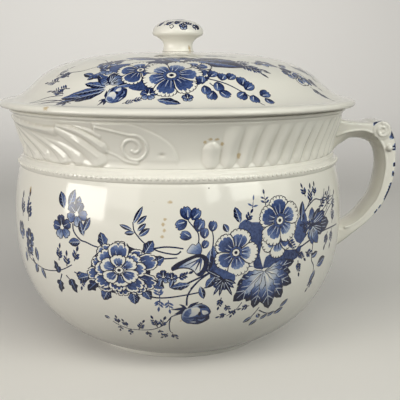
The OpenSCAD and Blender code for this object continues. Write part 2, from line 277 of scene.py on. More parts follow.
class Ink:
    """Printed areas in painting order, in the plane of one motif: x to the right, y up."""

    def __init__(self) -> None:
        """Starts with nothing printed."""
        self.patches: list[Patch] = []

    def area(self, outline: Any, tone: float, far: float | None = None, axis: Any = None, contour: float = 0.0) -> None:
        """Prints one filled area.

        Args:
            outline: The area's corner points in either order.
            tone: Its tone, or the tone where its axis starts.
            far: The tone where the axis ends, if it fades.
            axis: Start and end of the fade.
            contour: Width of a dark line left round the area.
        """
        shape = np.asarray(outline, float)
        x, y = shape.T
        if x @ np.roll(y, -1) < y @ np.roll(x, -1):
            shape = shape[::-1]
        if contour > 0:
            self.area(self.grown(shape, contour), LINE)
        ends = np.array([shape[0], shape[0]]) if axis is None else np.asarray(axis, float)
        self.patches.append(Patch(shape, float(tone), float(tone if far is None else far), ends))

    def line(self, points: Any, width: float, tone: float = LINE, tip: float = 0.35, steps: int = 4) -> None:
        """Prints a curved line that thins towards its end.

        Args:
            points: Points that the line passes.
            width: Its width at the start.
            tone: Its tone.
            tip: The share of the width that is left at the end.
            steps: Steps between the points.
        """
        path = smooth_path(points, steps)
        aside = left_of(path) * width / 2 * np.linspace(1, tip, len(path))[:, None]
        self.area(np.vstack([path - aside, (path + aside)[::-1]]), tone)

    def dot(self, x: float, y: float, radius: float, tone: float, contour: float = 0.0) -> None:
        """Prints a round spot of eight sides."""
        self.area((x, y) + radius * circle(8), tone, contour=contour)

    @staticmethod
    def grown(shape: Points, by: float) -> Points:
        """A counter-clockwise outline moved outwards, square to itself.

        Args:
            shape: The outline.
            by: How far it moves.

        Returns:
            The larger outline.
        """
        way = np.roll(shape, -1, axis=0) - np.roll(shape, 1, axis=0)
        out = np.column_stack([way[:, 1], -way[:, 0]])
        return shape + by * out / np.maximum(norm(out, axis=1), TINY)[:, None]


def lens(length: float, width: float, teeth: int = 0, blunt: float = 1.0, side: int = 0) -> Points:
    """Outline of a leaf or petal that points along x.

    Args:
        length: From its stalk at the origin to its tip.
        width: Its greatest width.
        teeth: Notches along each edge.
        blunt: Below 1 the widest place moves to the stalk, above 1 to the tip.
        side: 1 for the upper half alone, -1 for the lower half, 0 for both.

    Returns:
        The outline, counter-clockwise.
    """
    count = max(7, 2 * teeth + 1)
    t = np.linspace(0, 1, count)
    half = width / 2 * np.sin(np.pi * t**blunt) ** 0.85
    if teeth:
        half *= np.where(np.arange(count) % 2 == 1, 1.0, 0.8)
    low = np.column_stack([t * length, -half])
    high = np.column_stack([t * length, half])[::-1]
    spine = np.column_stack([t * length, 0 * t])
    if side > 0:
        return np.vstack([spine[:-1], high[:-1]])
    if side < 0:
        return np.vstack([low[:-1], spine[::-1][:-1]])
    return np.vstack([low[:-1], high[:-1]])


def petal(reach: float, half: float, drops: Any, inner: float = 0.0) -> Points:
    """Outline of a broad petal that points along x, with a scalloped edge.

    Args:
        reach: From the flower's eye to the petal's edge.
        half: Half the angle that the petal fills.
        drops: Depth of each notch between two scallops, as a share of the reach.
        inner: Distance from the eye at which the petal starts.

    Returns:
        The outline, counter-clockwise.
    """
    count = len(drops) + 1
    rows = [(0.3, -0.92), (0.65, -1.0)]
    for k in range(count):
        for at, drop in ((0.25, 0.0), (0.75, 0.0), (1.0, [*drops, 0][k])):
            u = 2 * (k + at) / count - 1
            rows.append(((1 - 0.2 * abs(u) ** 3) * (1 - drop), 0.94 * u))
    r, a = np.array([*rows[:-1], (0.65, 1.0), (0.3, 0.92)]).T * [[reach], [math.radians(half)]]
    start = [[0.0, 0.0]] if inner == 0 else arc(0, 0, inner, 0.7 * half, -0.7 * half, 2)
    return np.vstack([start, np.column_stack([r * np.cos(a), r * np.sin(a)])[r > inner]])


def stamens(ink: Ink, distances: Sequence[float], size: float) -> None:
    """Prints a ring of dark dots about a flower's eye, one at each distance from it."""
    for k, away in enumerate(distances):
        ink.dot(*rotated([[away, 0]], 360 / len(distances) * k)[0], size, LINE)


@dataclass(frozen=True)
class Blossom:
    """An open flower with broad scalloped petals, white at their edges and darker towards one side."""

    reach: float
    petals: int
    start: float
    shade: float
    seed: int

    def draw(self, ink: Ink) -> None:
        """Prints the flower about its eye.

        Args:
            ink: The print that takes its areas.
        """
        rng = np.random.default_rng(self.seed)
        half = 180 / self.petals
        for k in range(self.petals):
            angle = self.start + 2 * half * k + rng.uniform(-5, 5)
            reach = self.reach * rng.uniform(0.92, 1.06)
            dark = 0.5 + 0.5 * math.cos(math.radians(angle - self.shade))
            edge = petal(reach, 1.04 * half, rng.uniform(0.04, 0.14, 6))
            ink.area(rotated(edge, angle), PAPER, contour=0.65)
            inside = reach * (0.68 + 0.22 * dark)
            narrow = math.degrees(0.65 / (0.8 * reach))
            body = petal(inside, 1.04 * half - narrow, rng.uniform(0, 0.1, 4), 0.2 * self.reach)
            ends = ray(0.2 * reach, inside, angle)
            ink.area(rotated(body, angle), 0.6 + 0.12 * dark, 0.24 + 0.28 * dark, ends)
            for share, tone in ((-0.55, DEEP), (-0.15, HAZE), (0.2, DEEP), (0.5, HAZE)):
                ink.line(ray(0.28 * reach, rng.uniform(0.5, 0.68) * reach, angle + share * half), VEIN, tone, steps=2)
        ink.dot(0, 0, 0.3 * self.reach, MID)
        stamens(ink, rng.uniform(0.24, 0.32, 9) * self.reach, 0.55)
        ink.dot(0, 0, 0.16 * self.reach, PAPER, 0.5)
        ink.dot(0, 0, 0.08 * self.reach, LINE)


@dataclass(frozen=True)
class Peony:
    """A full flower in rings of cupped petals with white edges, dark where they overlap and below."""

    reach: float
    seed: int = 3
    # Each ring's reach and inner radius as shares of the flower, its petals, their tones at root and edge,
    # and the width of their white edges
    rings: tuple[tuple[float, float, int, float, float, float], ...] = (
        (1.0, 0.5, 10, 0.85, WASH, 0.9),
        (0.83, 0.38, 8, DEEP, 0.3, 1.3),
        (0.58, 0.14, 6, 0.62, 0.3, 2.0),
    )

    def draw(self, ink: Ink) -> None:
        """Prints the flower about its eye, from its outer ring inwards.

        Args:
            ink: The print that takes its areas.
        """
        rng = np.random.default_rng(self.seed)
        ink.area(arc(0, 0, 0.85 * self.reach, 0, 345, 23), LINE)
        for share, inner, count, root, edge, margin in self.rings:
            half = 180 / count
            for k in (*range(0, count, 2), *range(1, count, 2)):
                angle = 2 * half * k + rng.uniform(-9, 9) + 40 * share
                reach = self.reach * share * rng.uniform(0.82, 1.1)
                low = max(0.0, -math.sin(math.radians(angle)))
                drops = rng.uniform(0.02, 0.13, 3)
                ink.area(rotated(petal(reach, 1.15 * half, drops), angle), PAPER, contour=0.7)
                inside = reach - margin
                body = petal(inside, 1.15 * half - math.degrees(0.9 * margin / reach), drops, self.reach * inner)
                ends = ray(self.reach * inner, inside, angle)
                ink.area(rotated(body, angle), root, min(edge + 0.22 * low, 1), ends)
                for side, tone in ((-0.4, DEEP), (0.3, HAZE)):
                    ink.line(ray(self.reach * inner + 0.5, 0.78 * inside, angle + side * half), VEIN, tone, steps=2)
        stamens(ink, rng.uniform(0.14, 0.22, 12) * self.reach, 0.6)
        ink.dot(0, 0, 0.11 * self.reach, PAPER, 0.6)
        ink.dot(0, 0, 0.055 * self.reach, LINE)


@dataclass(frozen=True)
class Starflower:
    """A small flower with round petals, dark above and pale below, about a white eye."""

    reach: float
    petals: int = 5
    start: float = 90.0

    def draw(self, ink: Ink) -> None:
        """Prints the flower about its eye.

        Args:
            ink: The print that takes its areas.
        """
        half = 180 / self.petals
        for k in range(self.petals):
            angle = self.start + 2 * half * k
            dark = 0.5 + 0.5 * math.sin(math.radians(angle))
            ends = ray(0.2 * self.reach, self.reach, angle)
            shape = rotated(petal(self.reach, 0.9 * half, (0.1,)), angle)
            ink.area(shape, 0.42 + 0.56 * dark, 0.2 + 0.44 * dark, ends, 0.5)
            ink.line(0.8 * ends, 0.45, HAZE if dark > 0.5 else LINE, steps=2)
        ink.dot(0, 0, 0.22 * self.reach, PAPER)
        for angle in (30, 150, 270):
            x, y = rotated([[0.2 * self.reach, 0]], angle)[0]
            ink.dot(x, y, 0.4, LINE)


@dataclass(frozen=True)
class Lily:
    """A flower of narrow striped petals, each with a direction, a length, a width and a tone."""

    petals: tuple[tuple[float, float, float, float], ...]

    def draw(self, ink: Ink) -> None:
        """Prints the petals from the flower's root, in order.

        Args:
            ink: The print that takes its areas.
        """
        for angle, length, width, tone in self.petals:
            ink.area(rotated(lens(length, width, 2, 1.15), angle), tone, DEEP,
                     ray(0.3 * length, 1.2 * length, angle), 0.5)
            for rise in (-0.22, 0.0, 0.22):
                stripe = [[0.2 * length, 0.5 * rise * width], [0.8 * length, rise * width]]
                ink.line(rotated(stripe, angle), 0.6, LINE if tone < MID else HAZE, steps=2)


@dataclass(frozen=True)
class Leaf:
    """A leaf with a dark and a lighter half, a pale midrib and veins, pointing along x."""

    length: float
    width: float
    teeth: int = 0
    veins: int = 3

    def draw(self, ink: Ink) -> None:
        """Prints the leaf from its stalk.

        Args:
            ink: The print that takes its areas.
        """
        size = (self.length, self.width, self.teeth)
        ink.area(Ink.grown(lens(*size), 0.3), LINE)
        ink.area(lens(*size, side=1), DEEP, LINE, [[0, 0], [self.length, 0]])
        ink.area(lens(*size, side=-1), MID, WASH, [[self.length, 0], [0, -self.width / 2]])
        for k in range(self.veins):
            x = self.length * (0.18 + 0.6 * k / max(self.veins, 1))
            rise = self.width * 0.3
            ink.line([[x, 0], [x + 0.9 * rise, rise]], 0.45, WASH, steps=2)
            ink.line([[x, 0], [x + 0.9 * rise, -rise]], 0.45, DEEP, steps=2)
        ink.line([[0, 0], [self.length * 0.9, 0]], 0.5, HAZE, steps=2)


@dataclass(frozen=True)
class VineLeaf:
    """A large leaf of toothed lobes, light along their ribs and dark at their edges."""

    # Direction, length and width of each lobe, in the order that they are printed
    lobes: tuple[tuple[float, float, float], ...] = (
        (8, 22, 8), (201, 17.5, 10), (350, 20, 9), (333, 24.5, 11), (243, 20, 11), (224, 24, 13), (309, 25, 12),
        (262, 23.5, 11), (287, 27, 12))

    def draw(self, ink: Ink) -> None:
        """Prints the leaf from the place where its stalk meets it.

        Args:
            ink: The print that takes its areas.
        """
        for angle, length, width in self.lobes:
            ink.area(rotated(Ink.grown(lens(length, width, 5, 1.1), 0.4), angle), LINE)
            for side in (1, -1):
                ends = rotated([[0.35 * length, 0], [0.85 * length, side * width * 0.42]], angle)
                ink.area(rotated(lens(length, width, 5, 1.1, side), angle), HAZE, LINE, ends)
                for k in range(3):
                    x = length * (0.3 + 0.17 * k)
                    vein = [[x, 0.3 * side], [x + 0.32 * width, 0.3 * side * width]]
                    ink.line(rotated(vein, angle), 0.7, HAZE if k else DEEP, steps=2)
            pale = 0.72 if 200 < angle < 270 else 0.5
            ink.area(rotated(lens(pale * length, 0.5 * pale * width), angle + 6), PAPER, WASH,
                     ray(0.2 * length, pale * length, angle))
            ink.line(ray(0, 0.9 * length, angle), 0.8, HAZE, steps=2)
            ink.line(rotated([[0.1 * length, -0.5], [0.85 * length, -0.5]], angle), 0.45, LINE, steps=2)


@dataclass(frozen=True)
class Cut:
    """One freely drawn area through points, x and y in turn, or a line along them where it has a width."""

    points: tuple[float, ...]
    tone: float
    far: float | None = None
    axis: tuple[float, ...] | None = None
    contour: float = 0.0
    width: float = 0.0


@dataclass(frozen=True)
class Drawn:
    """A motif of freely drawn areas and lines in painting order, x to the right and y up."""

    cuts: tuple[Cut, ...]

    def draw(self, ink: Ink) -> None:
        """Prints the areas and lines.

        Args:
            ink: The print that takes its areas.
        """
        for cut in self.cuts:
            points = np.reshape(cut.points, (-1, 2))
            if cut.width:
                ink.line(points, cut.width, cut.tone)
            else:
                axis = None if cut.axis is None else np.reshape(cut.axis, (2, 2))
                ink.area(smooth_path([*points, points[0]], 2)[:-1], cut.tone, cut.far, axis, cut.contour)


@dataclass(frozen=True)
class Spray:
    """A bending stalk with pairs of narrow leaflets, from its root along x."""

    length: float
    pairs: int
    leaflet: float
    slim: float
    bend: float
    open: float = 42.0
    tone: float = DEEP

    def draw(self, ink: Ink) -> None:
        """Prints the stalk, its leaflets and the one at its tip.

        Args:
            ink: The print that takes its areas.
        """
        path = smooth_path([(0, 0), (self.length / 2, self.bend * 0.35), (self.length, self.bend)], 8)
        ink.line(path[::4], 0.7, self.tone)
        for k in range(self.pairs):
            size = self.leaflet * (1 - 0.12 * k)
            for side in (1, -1):
                spot = path[int((0.25 + 0.04 * side + 0.7 * k / self.pairs) * (len(path) - 1))]
                shape = rotated(lens(size, size * self.slim, 0, 1.15), side * self.open) + spot
                ink.area(shape, min(1.2 * self.tone, 1), 0.8 * self.tone, [spot, shape[3]])
        tip = rotated(lens(self.leaflet, self.leaflet * self.slim), math.degrees(math.atan(self.bend / self.length)))
        ink.area(tip + path[-1], self.tone)


@dataclass(frozen=True)
class Tuft:
    """A dense fern: dark and lighter blades that spread from one root over a shaded ground."""

    reach: float
    start: float
    end: float
    blades: int

    def draw(self, ink: Ink) -> None:
        """Prints the ground and the blades, the lighter ones first.

        Args:
            ink: The print that takes its areas.
        """
        ink.area(arc(0, 0, 0.55 * self.reach, self.start - 40, self.end + 40, 12), MID)
        for tone, first in ((MID, 1), (LINE, 0)):
            for k in range(first, self.blades, 2):
                angle = self.start + (self.end - self.start) * k / (self.blades - 1)
                length = self.reach * (0.78 + 0.22 * math.cos(2.3 * k))
                ink.area(rotated(lens(length, 0.2 * self.reach, 3), angle), tone, DEEP,
                         ray(0, length, angle))
                ink.line(ray(0.2 * length, 0.8 * length, angle), 0.4, HAZE, steps=2)


@dataclass(frozen=True)
class Runner:
    """A long stem through points given from its start, x to the right and y up."""

    points: Pairs
    width: float
    tone: float

    def draw(self, ink: Ink) -> None:
        """Prints the stem."""
        ink.line(self.points, self.width, self.tone, 0.75)


def ground(*after: float, tone: float = 0.58) -> Drawn:
    """A shaded ground between flowers.

    Args:
        after: x and y of the corners after the first, which is the origin.
        tone: Its tone at the first corner, a little darker at the middle one.

    Returns:
        The motif.
    """
    corners = (0, 0, *after)
    middle = len(corners) // 4 * 2
    return Drawn((Cut(corners, tone, tone + 0.1, (0, 0, *corners[middle : middle + 2])),))


CUP_LEAF = Drawn((
    Cut((0, 0, 1.2, -1.7, 3.2, -2.7, 5.3, -2.3, 6.5, -1.3, 5.8, -0.8, 6.9, 0.1, 5.8, 0.8, 6.4, 1.7, 5.2, 2.5, 3.1,
        2.7, 1.2, 1.6), DEEP, WASH, (1.5, 2.4, 5, -2), 0.35),
    Cut((1.4, -0.3, 4.8, -1.2), HAZE, width=0.7),
    Cut((0.8, 0.2, 5.2, 0.7), LINE, width=0.5),
))
IVY_LEAF = Drawn((
    Cut((0, 0, 1, -2.6, 3.4, -3.4, 4.2, -1.8, 6.4, -2.2, 9, 0.2, 6.2, 1.4, 4.6, 3.2, 3.2, 2, 1, 2.4), LINE,
        DEEP, (6, 2, 2, -2), 0.2),
    Cut((0.6, 0, 7.4, 0), WASH, width=0.6),
    Cut((2.6, -0.4, 4, -2), MID, width=0.8),
))
SHELL_LEAF = Drawn((
    Cut((0, 0, -7, 1.2, -6.6, 3.2, -4.4, 5.8, -2.6, 5, -0.8, 6.5, 0.6, 3), MID, HAZE, (-0.5, 0, -5, 4),
        0.4),
    Cut((-15.7, -7.3, -15.5, -9, -11.5, -7.6, -6.5, -7.8, -3.2, -10, -1.2, -12.3, 1.2, -11.8, 3.6, -8.5, 4.4, -4.5,
        3.2, -1.6, 0, 0, -4, -0.8, -9, -3, -13, -5), LINE, DEEP, (-4, 0, 0, -12), 0.4),
    Cut((-12, -7.2, -6.5, -7.4, -3.4, -9.3, -2, -11, 0.5, -9, 1.8, -5.5, 1, -2.4, -2, -1.8, -6, -3.4, -9.5, -5.3),
        PAPER, WASH, (0, -6, -11, -7)),
    Cut((0.4, -2.2, -9, -6.5), DEEP, width=0.9),
    Cut((0.4, -2.2, -5.5, -7.4), MID, width=1.4),
    Cut((0.4, -2.2, -2.8, -9.2), DEEP, width=1.3),
    Cut((0.6, -2.4, -0.3, -9.6), MID, width=1.2),
))
BUD = Drawn((
    Cut((-5, 4, -7, 6.8, -9.8, 7.6, -7.8, 5.6, -14.8, 3.8, -9, 3.6, -12.4, 0.4, -7, 2), DEEP, contour=0.2),
    Cut((-5, 4.6, -3.2, 7.6, 1.4, 9, -0.6, 7.2, 3.4, 8.2, 0, 5), DEEP, contour=0.2),
    Cut((-8, 0, -6.4, 4, -2.6, 5.6, -0.6, 7, 3.4, 7.2, 6.6, 5, 8.2, 1.4, 7.2, -0.6, 7.6, -3.4, 4.8, -5.8, 1.4, -7.4,
        -2.4, -6.8, -4.8, -6.4, -7.6, -3.4), HAZE, DEEP, (-4, 5, 3, -6), 0.4),
    Cut((-7, -0.2, -5.8, 3.2, -3, 4.6, -3.4, 1, -5, -1.6), MID, WASH, (-6.6, 0, -3.4, 3)),
    Cut((-2.8, 4.8, 0.4, 5.4, 2.2, 3.6, 1.2, 0.8, -1, -1, -4, -1.6, -2.6, 1.4), PAPER, HAZE, (0, 4, -3,
        -1)),
    Cut((0.6, 6.4, 4, 6.6, 6.8, 4.4, 4.6, 4.6, 2.4, 4.4), LINE, MID, (1, 6, 6.6, 4.6)),
    Cut((3.2, 3, 5.8, 2.6, 7.2, 0.8, 5, -0.4, 3.6, 0.6), PAPER, HAZE, (4, 2, 6, 0)),
    Cut((1.6, 2.2, 2.8, 1.6, 2.6, -0.6, 1, -0.4), LINE),
    Cut((-6.8, -1.6, -3.4, -2.4, 0.4, -1.6, 3.4, -2.6, 7, -0.8, 7.2, -3.4, 4.8, -5.6, 1.4, -7, -2.4, -6.6, -4.8, -6,
        -7.2, -3.4), DEEP, MID, (3, -3, -5, -5)),
    Cut((-5.6, -3, -3, -3.6, -0.6, -3, -2.8, -4.6), WASH),
    Cut((1.2, -3.4, 3.4, -4, 5.6, -2.6, 4.2, -4.8, 1.6, -4.8), WASH),
    Cut((-3.6, -5.4, -1, -5.2, 0.6, -5.8, -1.6, -6.2), HAZE),
))


@dataclass(frozen=True)
class Placed:
    """A motif on the pot: an angle, and a height on the belly or a radius on the lid."""

    motif: Any
    angle: float
    level: float
    turn: float = 0.0
    size: float = 1.0
    squash: float = 1.0


def copies(motif: Any, *rows: tuple[float, ...]) -> list[Placed]:
    """Places one motif again and again, each row an angle, a level, a turn, a size and a squash."""
    return [Placed(motif, *row) for row in rows]


def many(kind: Callable[..., Any], sizes: int, *rows: tuple[float, ...]) -> list[Placed]:
    """Places motifs of one kind, each row with so many sizes of its own and then its place."""
    return [Placed(kind(*row[:sizes]), *row[sizes:]) for row in rows]


def stems(tone: float, *rows: tuple[float, ...]) -> list[Placed]:
    """Places stems, each row a width, an angle and a level, then x and y of the points after the first."""
    return [Placed(Runner(((0, 0), *zip(row[3::2], row[4::2])), row[0], tone), *row[1:3]) for row in rows]


class Outline:
    """A profile that is turned about the pot's axis: points (radius, height) in order."""

    def __init__(self, points: Points) -> None:
        """Keeps the points, the lengths along them and the normals on their right side.

        Args:
            points: The profile's points, where one may stand twice.
        """
        keep = np.concatenate([[True], norm(np.diff(points, axis=0), axis=1) > 1e-6])
        self.points = points[keep]
        self.normals = -left_of(self.points)
        self.lengths = lengths_of(self.points)

    def at(self, length: Any) -> tuple[Points, Points]:
        """Point and normal at lengths along the profile.

        Args:
            length: The lengths.

        Returns:
            Points and unit normals.
        """
        spot = np.column_stack([np.interp(length, self.lengths, c) for c in self.points.T])
        normal = np.column_stack([np.interp(length, self.lengths, c) for c in self.normals.T])
        return spot, normal / norm(normal, axis=1)[:, None]

    def length_at(self, value: float, column: int) -> float:
        """Length along a profile on which the radius (0) or the height (1) only rises or only falls.

        Args:
            value: The radius or height.
            column: Which of the two it is.

        Returns:
            The length.
        """
        row = self.points[:, column]
        order = np.argsort(row)
        return float(np.interp(value, row[order], self.lengths[order]))


class Skin:
    """Triangles of one piece, with a normal and a hollow's depth for the painted shade at each point and the print's
    tone at each corner.
    """

    # Columns round the pot
    columns = 192

    def __init__(self) -> None:
        """Starts empty."""
        self.points: list[Points] = []
        self.normals: list[Points] = []
        self.hollow_shading: list[Points] = []
        self.triangles: list[Points] = []
        self.tones: list[Points] = []
        self.count = 0

    def add(self, points: Points, normals: Points | None, triangles: Points, tones: Points | None = None,
            hollow_shading: Points | None = None) -> None:
        """Adds a patch of surface.

        Args:
            points: Its points.
            normals: A normal for each, or none where they come from the faces.
            triangles: Rows of three point numbers, counter-clockwise from outside.
            tones: The print's tone at each corner, or none for bare glaze.
            hollow_shading: How deep in a hollow each point lies, from 0 to 1, which the glaze darkens as painted shade,
                or none.
        """
        self.points.append(points)
        self.normals.append(np.zeros(points.shape) if normals is None else normals)
        self.hollow_shading.append(np.zeros(len(points)) if hollow_shading is None else hollow_shading)
        self.triangles.append(triangles + self.count)
        self.tones.append(np.zeros(triangles.shape) if tones is None else tones)
        self.count += len(points)

    def turn(self, outline: Outline) -> None:
        """Adds the surface that a profile makes when it is turned about the axis."""
        spots, normals = (ringed(rows, self.columns) for rows in (outline.points, outline.normals))
        self.add(spots, normals, grid(len(outline.points), self.columns, True))

    def make(self, name: str, exact: bool = True) -> Object:
        """Joins the patches where they meet and makes the piece.

        Args:
            name: The piece's name.
            exact: Whether the given normals are kept, or worked out from the faces.

        Returns:
            The new object, at the origin.
        """
        points = np.vstack(self.points)
        _, first, welded = np.unique(np.round(points, 3), axis=0, return_index=True, return_inverse=True)
        triangles = welded.reshape(-1)[np.vstack(self.triangles)]
        a, b, c = triangles.T
        whole = (a != b) & (b != c) & (c != a)
        triangles, tones = triangles[whole], np.vstack(self.tones)[whole]
        mesh = bpy.data.meshes.new(name)
        mesh.from_pydata(points[first] * MM, [], triangles)
        mesh.polygons.foreach_set("use_smooth", np.ones(len(triangles), bool))
        write_values(mesh, "ink", "CORNER", tones.ravel())
        # Depth in a hollow, which the glaze turns into painted shade
        write_values(mesh, "hollow", "POINT", np.concatenate(self.hollow_shading)[first])
        if exact:
            mesh.normals_split_custom_set_from_vertices(np.vstack(self.normals)[first])
        mesh.update()
        return linked(name, mesh)


def write_values(mesh: Mesh, name: str, domain: str, values: Points) -> None:
    """Writes one number for each point or corner of a mesh, for its material to read."""
    mesh.attributes.new(name, "FLOAT", domain).data.foreach_set("value", np.asarray(values, np.float32))


def grid(rows: int, columns: int, closed: bool) -> Points:
    """Triangles between rows of points, counter-clockwise with columns to the right and rows upwards.

    Args:
        rows: Count of rows.
        columns: Points in each row.
        closed: Whether the last column joins the first.

    Returns:
        Rows of three point numbers.
    """
    i, j = np.meshgrid(np.arange(rows - 1), np.arange(columns if closed else columns - 1), indexing="ij")
    k = (j + 1) % columns
    a, b, c, d = (x.ravel() for x in (i * columns + j, i * columns + k, (i + 1) * columns + k, (i + 1) * columns + j))
    return np.vstack([np.column_stack([a, b, c]), np.column_stack([a, c, d])])


class BeltSheet:
    """The flat sheet of a turned surface, which print is laid on and cut into.

    It unrolls as a belt: x along the belly, y along its profile upwards.
    """

    def __init__(self, outline: Outline, columns: int, reach: float) -> None:
        """Starts a sheet with nothing printed.

        Args:
            outline: The surface's profile.
            columns: Columns round the pot.
            reach: Radius at which the sheet is true.
        """
        self.outline = outline
        self.columns = columns
        self.reach = reach
        self.patches: list[Patch] = []

    def lay(self, layout: Iterable[Placed], shift: float = 0.0) -> None:
        """Lays motifs on the sheet, without areas that would cross its edges.

        Args:
            layout: The motifs and their places.
            shift: Angle by which all of them are moved round the pot.
        """
        for item in layout:
            ink = Ink()
            item.motif.draw(ink)
            scale = (item.size, item.size * item.squash)
            for patch in ink.patches:
                moved = (rotated(p * scale, item.turn) for p in (patch.outline, patch.axis))
                shape, axis = (self.flat(p, item, shift) for p in moved)
                length = self.along(shape)[1]
                if length.min() > SHORT and length.max() < self.outline.lengths[-1] - SHORT:
                    self.patches.append(Patch(shape, patch.tone, patch.far, axis))

    def cut(self, skin: Skin) -> None:
        """Cuts the printed outlines into the sheet and adds the surface to a piece.

        Args:
            skin: The piece.
        """
        base = self.lattice()
        corners = [Vector(p) for p in base]
        faces = []
        for patch in self.patches:
            faces.append(list(range(len(corners), len(corners) + len(patch.outline))))
            corners.extend(Vector(p) for p in patch.outline)
        found = delaunay_2d_cdt(corners, [], faces, 0, 1e-4, True)
        flat = np.array([tuple(p) for p in found[0]])
        triangles = np.array(found[2])
        top = np.array([max(owners) if owners else -1 for owners in found[5]])
        inside = self.holds(flat[triangles].mean(1))
        triangles, top = triangles[inside], top[inside]
        tones = np.zeros(triangles.shape)
        for row in np.flatnonzero(top >= 0):
            tones[row] = self.patches[top[row]].tones(flat[triangles[row]])
        spots, normals = self.turned(*self.along(flat))
        skin.add(spots, normals, triangles, tones)
        LOG.info("print of %d areas cut into %d triangles", len(self.patches), len(triangles))

    def flat(self, points: Points, item: Placed, shift: float) -> Points:
        """Places points of a motif, at their true size where they lie.

        Args:
            points: The motif's points.
            item: Its place.
            shift: Angle by which it is moved round the pot.

        Returns:
            The points on the sheet.
        """
        y = self.outline.length_at(item.level, 1) + points[:, 1]
        r = self.outline.at(y)[0][:, 0]
        angle = math.radians(FACING + item.angle + shift) + points[:, 0] / r
        return np.column_stack([angle % (2 * math.pi) * self.reach, y])

    def lattice(self) -> Points:
        """A net of columns and of the profile's own points."""
        x = np.linspace(0, 2 * math.pi * self.reach, self.columns + 1)
        return np.array([(u, v) for v in self.outline.lengths for u in x])

    def along(self, flat: Points) -> tuple[Points, Points]:
        """Rolls the belt up again."""
        return flat[:, 0] / self.reach, flat[:, 1]

    def holds(self, flat: Points) -> Points:
        """Whether points lie on the sheet."""
        return np.ones(len(flat), bool)

    def turned(self, angle: Points, length: Points) -> tuple[Points, Points]:
        """Points and normals at angles in radians and lengths along the profile.

        Args:
            angle: The angles.
            length: The lengths.

        Returns:
            Points and unit normals.
        """
        (r, z), (nr, nz) = (c.T for c in self.outline.at(length))
        spots = np.column_stack([r * np.cos(angle), r * np.sin(angle), z])
        return spots, np.column_stack([nr * np.cos(angle), nr * np.sin(angle), nz])


class DiscSheet(BeltSheet):
    """A sheet that unrolls as a disc about the axis: its radius is the length along the profile from the axis."""

    def flat(self, points: Points, item: Placed, shift: float) -> Points:
        """Places points of a motif, with its y towards the axis.

        Args:
            points: The motif's points.
            item: Its place.
            shift: Angle by which it is moved round the pot.

        Returns:
            The points on the sheet.
        """
        angle = FACING + item.angle + shift
        centre = rotated([[self.span(self.outline.length_at(item.level, 0)), 0]], angle)
        return centre + rotated(points, angle + 90)

    def lattice(self) -> Points:
        """Rings of points on the profile's own points."""
        return np.vstack([circle(self.columns) * self.span(s) for s in self.outline.lengths])

    def along(self, flat: Points) -> tuple[Points, Points]:
        """Lifts the disc back to its dome."""
        span = norm(flat, axis=1)
        return np.arctan2(flat[:, 1], flat[:, 0]), self.outline.lengths[-1] - (span - self.reach)

    def holds(self, flat: Points) -> Points:
        """Whether points lie outside the hole in the disc."""
        return norm(flat, axis=1) > self.reach * math.cos(math.pi / self.columns)

    def span(self, length: float) -> float:
        """Distance from the disc's middle for a length along the profile, which runs inwards."""
        return self.reach + self.outline.lengths[-1] - length


@dataclass(frozen=True)
class Stain:
    """A rusty mark under the glaze: angle, height and radius of the surface, its width and its height."""

    angle: float
    level: float
    radius: float
    width: float
    height: float


